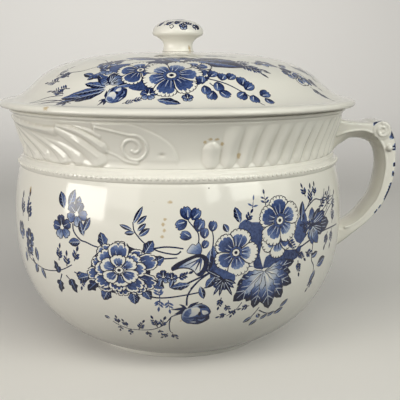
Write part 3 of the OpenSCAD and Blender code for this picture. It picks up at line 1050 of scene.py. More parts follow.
@dataclass(frozen=True)
class PrintedGlaze:
    """Lead-glazed earthenware over a transfer print.

    The clear glaze is glossy and a little uneven, so highlights are sharp but wander. It yellows and
    greys in clouds, and has iron specks and rusty marks from use. In the relief's recesses it is
    painted grey, partly as painted shade and partly as glaze that pools there.
    """

    ivory: str = "#e6e2d7"
    cool: str = "#dedcd6"
    # Grey painted into the relief's recesses: painted shade, and partly glaze that pools there
    hollow: str = "#bdb7a8"
    rust: str = "#b08f45"
    speck: str = "#3a3128"
    wash_blue: str = "#8fa2c2"
    mid_blue: str = "#43588a"
    deep_blue: str = "#0f1f4b"
    line_blue: str = "#020a2e"
    roughness: float = 0.09
    ior: float = 1.5
    cloud: float = 70.0
    ripple: float = 14.0
    speck_gap: float = 26.0
    print_grain: float = 1.3
    rust_grain: float = 1.5
    stains: tuple[Stain, ...] = tuple(Stain(*row) for row in (
        (-4, 99.2, 107, 2, 1.8), (-4.6, 96.4, 107, 2.2, 2), (-4.3, 93, 107, 1.8, 2.4),
        (-4.9, 89.6, 107, 2.4, 2.2), (-4.2, 86.6, 106, 1.6, 2), (-2.6, 108.5, 105, 3, 2),
        (8, 140.8, 102.6, 2.2, 2.6), (9.6, 142.4, 103.2, 2.8, 2), (11.6, 142.2, 103, 2.8, 1.8),
        (13.4, 139.8, 102.4, 2.2, 3.4), (19.2, 132.8, 100.6, 2.6, 4), (-39.6, 158, 113.6, 4.5, 2.6),
        (0.5, 38.5, 98, 1.4, 1.4), (-57, 108, 106, 2.4, 5), (50, 191, 10, 2.6, 4)))

    def material(self) -> Material:
        """Builds the material on Object coordinates and the attributes ink and hollow.

        Returns:
            The material.
        """
        made = bpy.data.materials.new("lead_glazed_printed_earthenware")
        made.use_nodes = True
        tree = made.node_tree
        tree.nodes.clear()
        place = add_node(tree, "ShaderNodeTexCoord").outputs["Object"]
        colour = self.body_colour(tree, place)
        colour = self.printed(tree, place, colour)
        colour = self.marked(tree, place, colour)
        swell = add_node(tree, "ShaderNodeTexNoise", {"Vector": place, "Scale": 1 / (self.ripple * MM), "Detail": 1.0})
        bump = add_node(tree, "ShaderNodeBump", {"Height": swell, "Strength": 0.06, "Distance": 0.002})
        gloss = add_node(tree, "ShaderNodeMapRange", {
            "Value": swell, "To Min": self.roughness * 0.7, "To Max": self.roughness * 1.5})
        shader = add_node(tree, "ShaderNodeBsdfPrincipled", {
            "Base Color": colour, "Roughness": gloss, "IOR": self.ior, "Normal": bump})
        add_node(tree, "ShaderNodeOutputMaterial", {"Surface": shader})
        return made

    def body_colour(self, tree: NodeTree, place: Any) -> Any:
        """Ivory that greys in clouds, with painted shade in the relief's recesses, which also stands for glaze pooled
        there.

        Args:
            tree: The material's tree.
            place: Object coordinates.

        Returns:
            The colour's node.
        """
        cloud = add_node(tree, "ShaderNodeTexNoise", {"Vector": place, "Scale": 1 / (self.cloud * MM), "Detail": 3.0})
        tint = add_node(tree, "ShaderNodeMix", {
            "Factor": cloud, "A": linear(self.ivory), "B": linear(self.cool)}, data_type="RGBA")
        # Painted shade: the hollow attribute mixes the recesses towards the grey, which also stands for pooled glaze
        deep = add_node(tree, "ShaderNodeAttribute", attribute_name="hollow")
        return add_node(tree, "ShaderNodeMix", {
            "Factor": deep.outputs["Fac"], "A": tint, "B": linear(self.hollow)}, data_type="RGBA")

    def printed(self, tree: NodeTree, place: Any, colour: Any) -> Any:
        """Lays the blue of the print, a little uneven, over the body's colour, by the attribute ink.

        Args:
            tree: The material's tree.
            place: Object coordinates.
            colour: The body's colour.

        Returns:
            The colour's node.
        """
        grain = add_node(tree, "ShaderNodeTexNoise", {
            "Vector": place, "Scale": 1 / (self.print_grain * MM), "Detail": 3.0})
        even = add_node(tree, "ShaderNodeMapRange", {
            "Value": grain, "From Min": 0.3, "From Max": 0.7, "To Min": 0.9, "To Max": 1.25})
        laid = add_node(tree, "ShaderNodeAttribute", attribute_name="ink")
        ink = add_node(tree, "ShaderNodeMath", {0: laid.outputs["Fac"], 1: even}, operation="MULTIPLY")
        ramp = add_node(tree, "ShaderNodeValToRGB", {"Fac": ink})
        stops = ramp.color_ramp.elements
        stops[0].position, stops[0].color = HAZE, linear(self.wash_blue)
        stops[1].color = linear(self.line_blue)
        for at, code in ((0.5, self.mid_blue), (DEEP, self.deep_blue)):
            stops.new(at).color = linear(code)
        cover = add_node(tree, "ShaderNodeMapRange", {"Value": ink, "From Max": float(WASH)})
        return add_node(tree, "ShaderNodeMix", {"Factor": cover, "A": colour, "B": ramp}, data_type="RGBA")

    def marked(self, tree: NodeTree, place: Any, colour: Any) -> Any:
        """Adds iron specks and rusty marks.

        Args:
            tree: The material's tree.
            place: Object coordinates.
            colour: The colour without marks.

        Returns:
            The colour's node.
        """
        cell = add_node(tree, "ShaderNodeTexVoronoi", {"Vector": place, "Scale": 1 / (self.speck_gap * MM)})
        fleck = add_node(tree, "ShaderNodeMapRange", {
            "Value": cell, "From Min": 0.012, "From Max": 0.022, "To Min": 0.75, "To Max": 0.0})
        colour = add_node(tree, "ShaderNodeMix", {
            "Factor": fleck, "A": colour, "B": linear(self.speck)}, data_type="RGBA")
        grain = add_node(tree, "ShaderNodeTexNoise", {
            "Vector": place, "Scale": 1 / (self.rust_grain * MM), "Detail": 4.0, "Roughness": 0.7})
        for stain in self.stains:
            a = math.radians(FACING + stain.angle)
            spot = Vector((stain.radius * math.cos(a), stain.radius * math.sin(a), stain.level)) * MM
            shape = Vector((1 / stain.width, 1 / stain.width, 1 / stain.height)) / MM
            offset = add_node(tree, "ShaderNodeVectorMath", {0: place, 1: spot}, operation="SUBTRACT")
            scaled = add_node(tree, "ShaderNodeVectorMath", {0: offset, 1: shape}, operation="MULTIPLY")
            away = add_node(tree, "ShaderNodeVectorMath", {0: scaled}, operation="LENGTH")
            rough = add_node(tree, "ShaderNodeMath", {0: grain, 1: away}, operation="SUBTRACT")
            mask = add_node(tree, "ShaderNodeMapRange", {
                "Value": rough, "From Min": -0.06, "From Max": 0.2, "To Max": 0.62})
            colour = add_node(tree, "ShaderNodeMix", {
                "Factor": mask, "A": colour, "B": linear(self.rust)}, data_type="RGBA")
        return colour


def dress(piece: Object, glaze: Material, body: str, *nodes: str) -> None:
    """Glazes a piece, hangs it on its body and lets it stand for solids.

    Args:
        piece: The new piece.
        glaze: Its material.
        body: The body that it moves with.
        nodes: The solids that it stands for.
    """
    if not piece.data.materials:
        piece.data.materials.append(glaze)
    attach(piece, body)
    if nodes:
        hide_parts(*nodes)
    LOG.info("%s: %d faces on %s", piece.name, len(piece.data.polygons), body)


@dataclass(frozen=True)
class Bowl:
    """The pot's bowl: foot ring, round belly, bead band, drawn-in neck and rim."""

    belly_r: float = 107.4
    belly_z: float = 88.0
    lower_depth: float = 93.0
    belly_square: float = 2.5
    belly_rise: float = 111.0
    wall: float = 6.0
    floor_z: float = 7.1
    floor_round: float = 22.0
    foot_r: float = 55.7
    foot_w: float = 5.5
    foot_h: float = 3.8
    foot_recess: float = 2.6
    foot_draft: float = 1.2
    band_z: float = 117.0
    band_h: float = 8.0
    ridge_rad: float = 3.2
    ridge_out: float = 0.6
    band_lip: float = 1.5
    waist_in: float = 7.6
    waist_up: float = 4.5
    neck_h: float = 26.7
    low_flare: float = 1.0
    top_flare: float = 7.7
    flare_bend: float = 1.4
    rim_h: float = 2.3
    rim_out: float = 1.6
    rim_round: float = 1.2
    lip_rise: float = 0.4
    print_low: float = 14.0
    print_high: float = 115.5

    @property
    def neck_low(self) -> float:
        """Height where the neck starts."""
        return self.band_z + self.band_h

    @property
    def waist_z(self) -> float:
        """Height of the neck's narrowest place."""
        return self.neck_low + self.waist_up

    @property
    def neck_top(self) -> float:
        """Height where the rim starts."""
        return self.neck_low + self.neck_h

    @property
    def rim_z(self) -> float:
        """Height of the rim's flat top."""
        return self.neck_top + self.rim_h

    @property
    def waist_r(self) -> float:
        """Radius of the neck's narrowest place."""
        return self.belly_r - self.waist_in

    @property
    def rim_r(self) -> float:
        """Outer radius of the rim."""
        return self.waist_r + self.top_flare + self.rim_out

    @property
    def ridge_r(self) -> float:
        """Radius about which the bead band's ridge is round."""
        return float(self.belly_radius(self.band_z)) + self.ridge_out - self.ridge_rad

    def belly_radius(self, z: Any) -> Points:
        """Radius of the belly at heights.

        Args:
            z: The heights.

        Returns:
            The radii.
        """
        down = np.clip((self.belly_z - np.asarray(z, float)) / self.lower_depth, 0, 1)
        up = np.clip((np.asarray(z, float) - self.belly_z) / self.belly_rise, 0, 1)
        lower = (1 - down**self.belly_square) ** (1 / self.belly_square)
        return self.belly_r * lower * np.sqrt(1 - up**2)

    def neck_radius(self, z: Any) -> Points:
        """Radius of the neck at heights.

        Args:
            z: The heights.

        Returns:
            The radii.
        """
        up = np.asarray(z, float) - self.waist_z
        low = self.low_flare * (np.minimum(up, 0) / self.waist_up) ** 2
        high = self.top_flare * (np.maximum(up, 0) / (self.neck_top - self.waist_z)) ** self.flare_bend
        return self.waist_r + low + high

    def outer_radius(self, z: Any) -> Points:
        """Radius of the bowl's outside at heights, without the bead band."""
        return np.where(np.asarray(z, float) < self.neck_low, self.belly_radius(z), self.neck_radius(z))

    def belly_path(self, low: float, high: float, step: float) -> Points:
        """The belly's profile between two heights, with about one point for each step."""
        z = np.linspace(low, high, max(2, int((high - low) / step)))
        return np.column_stack([self.belly_radius(z), z])

    def lower_outline(self) -> Outline:
        """From the axis under the bowl, over the foot ring, to the print's lower edge.

        Returns:
            The profile.
        """
        foot = softened([(0, self.foot_recess), (self.foot_r - self.foot_w - self.foot_draft, self.foot_recess),
                         (self.foot_r - self.foot_w, 0), (self.foot_r, 0), (self.foot_r + self.foot_draft, self.foot_h),
                         (float(self.belly_radius(self.foot_h + 0.6)), self.foot_h + 0.6)], 0.8)
        return Outline(np.vstack([foot, self.belly_path(self.foot_h + 0.9, self.print_low, 1.6)]))

    def upper_outline(self) -> Outline:
        """From the print's upper edge, over the bead band, neck and rim, down the inside to the axis.

        Returns:
            The profile.
        """
        neck_z = np.linspace(self.neck_low, self.neck_top, 10)
        neck = np.column_stack([self.neck_radius(neck_z), neck_z])
        mouth = neck[-1, 0] - self.wall
        band = arc(self.ridge_r, self.band_z + self.ridge_rad, self.ridge_rad, -50, 60)
        step = [(neck[0, 0] + self.band_lip, self.neck_low - self.band_lip / 2)]
        lip_half = (self.rim_h - self.lip_rise) / 2
        lip = arc(0, 0, 1, -80, 90) * (self.rim_round, lip_half)
        rim = np.vstack([lip + (self.rim_r - self.rim_round, self.rim_z - lip_half),
                         arc(mouth + self.rim_round, self.rim_z - self.rim_round, self.rim_round, 90, 180)])
        inset = Outline(self.belly_path(self.foot_h, self.band_z, 4.0)[::-1])
        hollow = inset.points + inset.normals * self.wall
        hollow = hollow[hollow[:, 1] > self.floor_z + 4]
        edge = hollow[-1]
        floor = cubic(edge, (edge[0] - 5, self.floor_z + 1), (edge[0] - self.floor_round / 2, self.floor_z),
                      (edge[0] - self.floor_round, self.floor_z), 10)
        shoulder = self.belly_path(self.print_high, self.band_z, 0.8)
        return Outline(np.vstack([shoulder, softened(np.vstack([band, step, neck]), 0.5, 3), rim,
                                  (neck - (self.wall, 0))[::-1], hollow, floor, [(0, self.floor_z)]]))

    def build(self, glaze: Material, layout: Iterable[Placed]) -> None:
        """Makes the bowl with its print, on the facing side and again behind.

        Args:
            glaze: Its material.
            layout: The print of one side.
        """
        skin = Skin()
        skin.turn(self.lower_outline())
        skin.turn(self.upper_outline())
        belly = Outline(self.belly_path(self.print_low, self.print_high, 2.6))
        sheet = BeltSheet(belly, skin.columns, self.belly_r)
        sheet.lay(layout)
        sheet.lay(layout, 180)
        sheet.cut(skin)
        dress(skin.make("bowl_glazed"), glaze, "pot", "bowl")


@dataclass(frozen=True)
class Ridge:
    """A raised stroke of the border: points (angle from the side opposite the handle, height), and its section."""

    points: Pairs
    width: float
    height: float
    root: float = 0.15


@dataclass(frozen=True)
class NeckBorder:
    """The moulded border round the neck: acanthus leaves, a volute, a plain field and gadroons."""

    bowl: Bowl
    ground: float = 0.3
    margin: float = 0.4
    gadroon_relief: float = 1.9
    gadroon_pitch: float = 5.5
    gadroon_start: float = 93.3
    gadroon_lean: float = 0.16
    gadroon_most: float = 3.4
    gadroon_h: float = 24.4
    gadroon_short: float = 15.5
    field_relief: float = 0.8
    field_edge: float = 86.0
    field_bend: float = 15.0
    field_fade: float = 5.0
    dent_at: tuple[float, float] = (80.9, 8.2)
    dent_half: tuple[float, float] = (1.6, 1.0)
    volute_at: tuple[float, float] = (72.2, 11.7)
    volute_r: float = 7.7
    volute_relief: float = 1.5
    root_half: float = 14.6
    columns: int = 1240
    rows: int = 60
    ridges: tuple[Ridge, ...] = (
        Ridge(((0, 22), (0, 12), (0, 4.8)), 4.4, 1.2, 0.3),
        Ridge(((5, 22.5), (10, 13), (15.2, 4.4)), 4.4, 1.2),
        Ridge(((8, 21.5), (18, 12.6), (28.6, 4.0)), 4.5, 1.2),
        Ridge(((14, 19.5), (27, 12.8), (36.4, 4.2)), 4.0, 1.2),
        Ridge(((30, 16.5), (39.6, 10.8), (45.8, 3.8)), 4.4, 1.2),
        Ridge(((38, 14.5), (46, 10.6), (52, 4.2)), 4.2, 1.1),
        Ridge(((45.5, 20), (51, 15.6), (55.6, 10.8), (59.8, 5.4)), 5.4, 1.4, 0.4),
        Ridge(((46, 23), (54, 20), (58.8, 15.6), (62, 11.8)), 3.8, 1.4, 0.2),
        Ridge(((6, 23.4), (21, 21), (34, 19.8), (44, 19)), 2.6, 1.2, 0.3),
        Ridge(((53, 23.2), (58, 21), (61.6, 17.8)), 2.0, 1.3, 0.2),
        Ridge(((61, 21.4), (65, 19.8), (69, 17.4)), 1.5, 0.9, 0.3),
        Ridge(((73, 3.6), (69.5, 4.4), (66.4, 7.2), (63.6, 9.2)), 1.3, 1.2, 1.0),
    )
    # The leaf's body under its lobes, with its scalloped lower edge
    leaf: Pairs = (
        (-1, 0.8), (6, 0.3), (13, 0.1), (18, 0.8), (23, 0.1), (29, 0.1), (33.5, 1.3), (36.5, 1.7), (40.5, 0.5),
        (45, 0.4), (48.9, 1.9), (52.6, 1.6), (56, 0.7), (59.6, 0.6), (62.4, 2.2), (63.8, 5), (62.8, 8), (64.2, 10.6),
        (63.4, 13.6), (60.6, 17), (56.4, 20.8), (50, 23.2), (46, 23.2), (44.8, 21.2), (40, 21.4), (30, 22.4),
        (20, 23.6), (8, 24.4), (-1, 24.4))
    leaf_relief: float = 0.9
    # Fine crests that catch the light along the lobes
    crests: tuple[Pairs, ...] = (
        ((6, 20), (11, 12), (15, 5.4)), ((15, 14), (22.6, 9.4), (29.4, 4.4)), ((26, 14), (32, 9.4), (36.4, 4.6)),
        ((38.4, 12), (43, 8), (46.2, 4.2)), ((51.6, 16), (55.8, 11.4), (60, 6.2)),
        ((54.6, 20), (58.8, 16.2), (62, 12.2)), ((22, 21.2), (34, 20.1), (42, 19.4)),
    )

    @property
    def along(self) -> float:
        """Length of one degree round the neck."""
        return math.pi * self.bowl.waist_r / 180

    def volute(self) -> Ridge:
        """The stem that runs along the top and curls up into the volute.

        Returns:
            The stroke.
        """
        t = np.linspace(0, 1, 20)
        turn = np.radians(102 - 360 * 1.6 * t)
        r = self.volute_r * (1 - 0.78 * t**1.6)
        curl = zip(self.volute_at[0] + r * np.cos(turn) / self.along, self.volute_at[1] + r * np.sin(turn))
        return Ridge(((61, 23), (66.4, 21.1), *curl), 1.5, self.volute_relief, 0.8)

    def relief(self, a: Points, h: Points) -> Points:
        """Height of the relief above the neck.

        Args:
            a: Angles from the side opposite the handle, the same both ways round.
            h: Heights above the bead band.

        Returns:
            The relief at each place.
        """
        along = self.along
        top = self.bowl.neck_h - 2 * self.margin
        edge = self.field_edge - self.field_bend * np.clip(h / top, 0, 1) ** 3
        field = self.field_relief / (1 + np.exp(np.clip((a - edge) * along / 0.3, -40, 40)))
        (at, level), (half, tall) = self.dent_at, self.dent_half
        field *= 1 - 0.9 * np.exp(-(((a - at) * along / half) ** 2 + ((h - level) / tall) ** 2))
        field *= np.clip(h / self.field_fade, 0, 1) ** 2
        found = np.maximum(self.gadroons(a, h, top), field * (a > 60))
        lobes = np.zeros(a.shape)
        for ridge in self.ridges:
            lobes = np.maximum(lobes, self.raised(ridge, a * along, h))
        found = np.maximum(found, lobes + self.leaf_relief * self.averaged(self.inside(self.leaf, a, h), 1))
        found = np.maximum(found, self.raised(self.volute(), a * along, h))
        for crest in self.crests:
            found += self.raised(Ridge(crest, 1.0, 0.3, 0.6), a * along, h)
        return found

    def gadroons(self, a: Points, h: Points, top: float) -> Points:
        """Height of the flutes, rounded at both ends: the first is short and upright, the others lean.

        Args:
            a: Angles from the side opposite the handle.
            h: Heights above the bead band.
            top: Height of the border.

        Returns:
            The relief at each place.
        """
        aside = a - self.gadroon_start
        lean = np.clip(self.gadroon_lean * aside, 0, self.gadroon_most)
        s = (aside - lean * h / top) / self.gadroon_pitch
        index = np.floor(s)
        end = self.gadroon_pitch * self.along / 2
        height = np.where(index == 0, self.gadroon_short, self.gadroon_h)
        below = np.maximum(0, 1 - h / end)
        above = np.maximum(0, 1 - (height - h) / (np.where(index == 0, 1.0, 2.2) * end))
        u = 2 * (s - index) - 1
        across = 0.6 * (1 - u**2) + 0.2 * (1 + np.cos(np.pi * u))
        short = np.clip(across - below**2 - above**2, 0, 1) ** 0.8
        dome = np.where(index == 0, short, np.clip(across - below**2, 0, 1) * np.clip(1 - above**2, 0, 1))
        return np.where(index < 0, 0, self.gadroon_relief * dome)

    def raised(self, ridge: Ridge, x: Points, h: Points) -> Points:
        """Height of one raised stroke, rounded across its path.

        Args:
            ridge: The stroke.
            x: Lengths round the neck.
            h: Heights above the bead band.

        Returns:
            The relief at each place.
        """
        path = smooth_path(np.array(ridge.points) * (self.along, 1), 6)
        share = np.linspace(0, 1, len(path))
        reach = ridge.width * max(1, ridge.root) + 1
        low, high = path.min(0) - reach, path.max(0) + reach
        near = (x > low[0]) & (x < high[0]) & (h > low[1]) & (h < high[1])
        spot_x, spot_h = x[near], h[near]
        best, grown = np.full(spot_x.shape, 9.0), np.ones(spot_x.shape)
        for p, q, u, v in zip(path[:-1], path[1:], share[:-1], share[1:]):
            way = q - p
            t = np.clip(((spot_x - p[0]) * way[0] + (spot_h - p[1]) * way[1]) / (way @ way), 0, 1)
            off = np.hypot(spot_x - p[0] - t * way[0], spot_h - p[1] - t * way[1])
            local = ridge.root + (1 - ridge.root) * (u + (v - u) * t)
            aside = off / (ridge.width * local)
            grown = np.where(aside < best, local, grown)
            best = np.minimum(best, aside)
        found = np.zeros(x.shape)
        found[near] = np.clip(1 - best**2, 0, 1) ** 0.9 * ridge.height * np.minimum(1, 1.4 * grown)
        return found

    @staticmethod
    def inside(outline: Pairs, a: Points, h: Points) -> Points:
        """Tells with 1 or 0 which places lie inside an outline.

        Args:
            outline: The corners.
            a: Angles from the side opposite the handle.
            h: Heights above the bead band.

        Returns:
            The ones and zeros.
        """
        odd = np.zeros(a.shape, bool)
        for (a0, h0), (a1, h1) in zip(outline, (*outline[1:], outline[0])):
            if h0 != h1:
                odd ^= ((h0 > h) != (h1 > h)) & (a < (a1 - a0) * (h - h0) / (h1 - h0) + a0)
        return odd.astype(float)

    @staticmethod
    def averaged(values: Points, reach: int) -> Points:
        """Averages a grid of values over square boxes.

        Args:
            values: The grid.
            reach: Cells to each side.

        Returns:
            The averages.
        """
        for axis in (0, 1):
            pads = [(reach + 1, reach) if axis == k else (0, 0) for k in (0, 1)]
            total = np.cumsum(np.pad(values, pads, mode="edge"), axis=axis)
            size, span = values.shape[axis], 2 * reach + 1
            values = (np.take(total, np.arange(span, span + size), axis) - np.take(total, np.arange(size), axis)) / span
        return values

    @staticmethod
    def zipped(left: Points, right: Points) -> Points:
        """Triangles between two rows of point numbers that differ in count.

        Args:
            left: One row.
            right: The other row.

        Returns:
            Rows of three point numbers.
        """
        found, i, j = [], 0, 0
        while i + j < len(left) + len(right) - 2:
            if i * (len(right) - 1) <= j * (len(left) - 1) and i < len(left) - 1:
                found.append((left[i], left[i + 1], right[j]))
                i += 1
            else:
                found.append((left[i], right[j + 1], right[j]))
                j += 1
        return np.array(found)

    def build(self, glaze: Material) -> None:
        """Makes the border as a closed skin round the neck, with a gap at the handle's root.

        Args:
            glaze: Its material.
        """
        start = math.degrees(math.asin(self.root_half / self.bowl.waist_r))
        angle = np.linspace(start, 360 - start, self.columns)
        share = np.linspace(0, 1, self.rows)
        height = self.bowl.neck_h - 2 * self.margin
        spread, up = np.meshgrid(angle, share * height)
        relief = self.relief(np.abs(spread - 180), up)
        fade = np.clip(np.minimum(share, 1 - share) / 0.03, 0, 1)[:, None]
        ends = np.clip(np.minimum(spread - start, 360 - start - spread) / 1.2, 0, 1)
        z = self.bowl.neck_low + self.margin + up
        front = self.bowl.neck_radius(z) + (self.ground + relief) * fade * ends + 0.02
        hidden = z[::-1][::4]
        rows = [*zip(front, z), *zip(self.bowl.neck_radius(hidden) - 1.0, hidden), (front[0], z[0])]
        a = np.radians(angle)
        points = np.vstack([np.column_stack([r * np.cos(a), r * np.sin(a), h]) for r, h in rows])
        # How far each point lies below its surroundings, for the painted shade in the relief's recesses
        hollow_shading = np.zeros(len(points))
        hollow_shading[: relief.size] = np.clip((self.averaged(relief, 4) - relief - 0.05) / 0.9, 0, 1).ravel()
        skin = Skin()
        outside = np.arange(self.rows) * self.columns
        inside = np.arange(self.rows, len(rows) - 1)[::-1] * self.columns
        end = self.zipped(outside, inside)
        triangles = np.vstack([grid(len(rows), self.columns, False), end, end[:, ::-1] + self.columns - 1])
        skin.add(points, None, triangles, hollow_shading=hollow_shading)
        LOG.info("border relief up to %.1f mm", float(relief.max()))
        dress(skin.make("neck_border_moulded", exact=False), glaze, "pot", "neck_border")


@dataclass(frozen=True)
class BeadRow:
    """The row of fine beads along the bead band, made by a geometry tree."""

    bowl: Bowl
    count: int = 204
    bead_r: float = 1.0
    up: float = 3.6
    sunk: float = 0.35

    def tree(self) -> NodeTree:
        """Builds the tree: a ring of points, a bead on each, made real and glazed.

        Returns:
            The tree.
        """
        made = bpy.data.node_groups.new("bead_row", "GeometryNodeTree")
        made.interface.new_socket("Beads", in_out="OUTPUT", socket_type="NodeSocketGeometry")
        kinds = {"Count": "Int", "Ring Radius": "Float", "Bead Radius": "Float", "Height": "Float", "Glaze": "Material"}
        for name, kind in kinds.items():
            made.interface.new_socket(name, in_out="INPUT", socket_type=f"NodeSocket{kind}")
        given = add_node(made, "NodeGroupInput").outputs
        ring = add_node(made, "GeometryNodeMeshCircle", {"Vertices": given["Count"], "Radius": given["Ring Radius"]})
        bead = add_node(made, "GeometryNodeMeshIcoSphere", {"Radius": given["Bead Radius"], "Subdivisions": 2})
        beads = add_node(made, "GeometryNodeInstanceOnPoints", {"Points": ring, "Instance": bead})
        lift = add_node(made, "ShaderNodeCombineXYZ", {"Z": given["Height"]})
        moved = add_node(made, "GeometryNodeTransform", {"Geometry": beads, "Translation": lift})
        real = add_node(made, "GeometryNodeRealizeInstances", {"Geometry": moved})
        smooth = add_node(made, "GeometryNodeSetShadeSmooth", {"Geometry": real})
        glazed = add_node(made, "GeometryNodeSetMaterial", {"Geometry": smooth, "Material": given["Glaze"]})
        add_node(made, "NodeGroupOutput", {"Beads": glazed})
        return made

    def build(self, glaze: Material) -> None:
        """Runs the tree once and keeps its result as a plain mesh.

        Args:
            glaze: Its material.
        """
        piece = linked("bead_row", bpy.data.meshes.new("bead_row"))
        modifier = piece.modifiers.new("beads", "NODES")
        tree = self.tree()
        modifier.node_group = tree
        turn = math.asin((self.up - self.bowl.ridge_rad) / self.bowl.ridge_rad)
        ring = self.bowl.ridge_r + self.bowl.ridge_rad * math.cos(turn) - self.sunk
        values = {"Count": self.count, "Ring Radius": ring * MM, "Bead Radius": self.bead_r * MM,
                  "Height": (self.bowl.band_z + self.up) * MM, "Glaze": glaze}
        for socket in tree.interface.items_tree:
            if socket.in_out == "INPUT":
                modifier[socket.identifier] = values[socket.name]
        settled(piece)
        dress(piece, glaze, "pot")


@dataclass(frozen=True)
class Handle:
    """The strap handle: an S-shaped strap with a scroll and a pearl on each side, a tail and a drop."""

    bowl: Bowl
    width: float = 26.0
    square: float = 5.0
    scroll_r: float = 4.8
    scroll_t: float = 2.2
    scroll_from: float = 100.0
    scroll_turn: float = 576.0
    boss_out: float = 0.6
    boss_share: float = 1.3
    pearl_r: float = 2.3
    drop_r: float = 3.8
    drop_w: float = 7.0
    drop_out: float = 2.2
    drop_down: float = -71.3
    tail_up: float = -51.0
    tail_t: float = 4.0
    tail_w: float = 14.0
    scroll_at: tuple[float, float] = (27.6, 20.4)
    pearl_at: tuple[float, float] = (32.7, 8.7)
    ridge_t: float = 1.7
    buried: float = 2.5
    grain: float = 0.5
    # Spine: out from the belly's widest point, up from the bead band, thickness, how much narrower than the
    # strap, and how far the inner face bulges
    spine: tuple[tuple[float, ...], ...] = (
        (-12, 22.5, 24, 0, 12), (-3.6, 23, 14, 0, 11), (2.4, 22.9, 8.8, 0, 8), (8, 23, 6.8, 0, 5.6),
        (15.4, 22.8, 5.6, 0, 5.8), (20.4, 22.2, 7.5, 0, 5.4), (24.5, 21.8, 10.4, 0, 5), (29.6, 18.2, 11.8, 0, 4),
        (33.2, 11, 10.2, 0, 3.4), (34.4, 3.3, 8.3, 0, 3), (34.8, -3.5, 7.8, 0, 3), (33.9, -11.4, 7.6, 0, 3),
        (32.1, -18.8, 6.9, 0, 3), (28.6, -27.2, 6.2, 0, 2.8), (24.1, -33.5, 6.2, 0, 2.6), (18.7, -39.5, 5.6, 0, 2.4),
        (13.3, -44, 5.7, 0, 2.2), (8.2, -47.2, 7, 0, 2), (2.9, -50, 10.5, 2, 1), (-4.6, -53, 16, 4, 0))
    # Printed strokes on the outer face, the same towards both edges: place along the spine in its own points
    # and distance from the middle
    strokes: tuple[Pairs, ...] = (
        ((5.4, 12.6), (6.2, 12.2), (6.9, 12.6), (7.6, 12.4)), ((7.9, 9.0), (8.25, 13.2)), ((8.5, 13.2), (8.2, 9.5)),
        ((9.75, 13.2), (9.95, 12.0), (10.0, 12.8)), ((10.55, 13.2), (10.75, 11.9)), ((10.8, 13.2), (10.7, 12.6)),
        ((11.5, 13.0), (11.7, 11.6), (12.0, 12.6)), ((11.75, 13.2), (12.2, 12.4), (12.5, 12.9)),
        ((12.1, 11.8), (12.5, 11.2)), ((12.6, 13.1), (12.9, 11.9)), ((13.4, 13.2), (13.55, 12.6)),
        ((13.9, 13.2), (14.1, 12.4)),
        ((6.4, 4.0), (7.4, 1.0), (8.6, 5.0), (9.8, 1.5), (11.0, 5.0), (12.4, 1.5), (13.6, 4.0)),
        ((7.2, 2.0), (7.0, 7.0)), ((8.4, 4.0), (8.9, 8.0)), ((9.6, 2.0), (9.4, 7.5)), ((10.8, 4.5), (11.3, 8.5)),
        ((12.2, 2.0), (12.0, 7.0)), ((13.2, 3.5), (13.5, 7.5)),
    )

    def sweep(self, path: Points, square: float, sides: int, side: float) -> tuple[Points, Points]:
        """Sweeps a rounded section along a path of (out, up, thickness, width, inner bulge).

        Args:
            path: The path's rows.
            square: The section's squareness, where 2 is an ellipse.
            sides: Points in each section.
            side: Distance of the path from the handle's middle plane.

        Returns:
            Points and triangles of a closed solid.
        """
        u = np.arange(sides) * 2 * np.pi / sides
        cos, sin = (np.sign(f) * np.abs(f) ** (2 / square) for f in (np.cos(u), np.sin(u)))
        rings = []
        for (out, up, thick, wide, bulge), (ax, az) in zip(path, left_of(path[:, :2])):
            v = thick / 2 * sin - np.where(sin < 0, bulge * (1 - cos**2), 0)
            rings.append(np.column_stack([self.bowl.belly_r + out + ax * v, side + wide / 2 * cos,
                                          self.bowl.band_z + up + az * v]))
        points = np.vstack([*rings, rings[0].mean(0), rings[-1].mean(0)])
        last = (len(rings) - 1) * sides
        k = np.arange(sides)
        caps = [np.column_stack([np.full(sides, len(points) - 2), (k + 1) % sides, k]),
                np.column_stack([np.full(sides, len(points) - 1), last + k, last + (k + 1) % sides])]
        return points, np.vstack([grid(len(rings), sides, True), *caps])

    def ball(self, out: float, up: float, side: float, radius: Sequence[float]) -> tuple[Points, Points]:
        """A ball or flattened ball on the handle.

        Args:
            out: Distance out from the belly's widest point.
            up: Height above the bead band.
            side: Distance from the middle plane.
            radius: Its radii along x, y and z.

        Returns:
            Points and triangles.
        """
        rows = arc(0, 0, 1, -90, 90, 16)
        centre = np.array((self.bowl.belly_r + out, side, self.bowl.band_z + up))
        return centre + ringed(rows, 24) * radius, grid(len(rows), 24, True)

    def boss(self) -> tuple[Points, Points]:
        """The round disc under both scrolls, through the strap.

        Returns:
            Points and triangles.
        """
        half = self.width / 2 + self.boss_out
        radius = self.scroll_r * self.boss_share
        rows = softened([(0, -half), (radius, -half), (radius, half), (0, half)], 0.6)
        centre = np.array((self.bowl.belly_r + self.scroll_at[0], 0, self.bowl.band_z + self.scroll_at[1]))
        return centre + ringed(rows, 48)[:, [1, 2, 0]], grid(len(rows), 48, True)

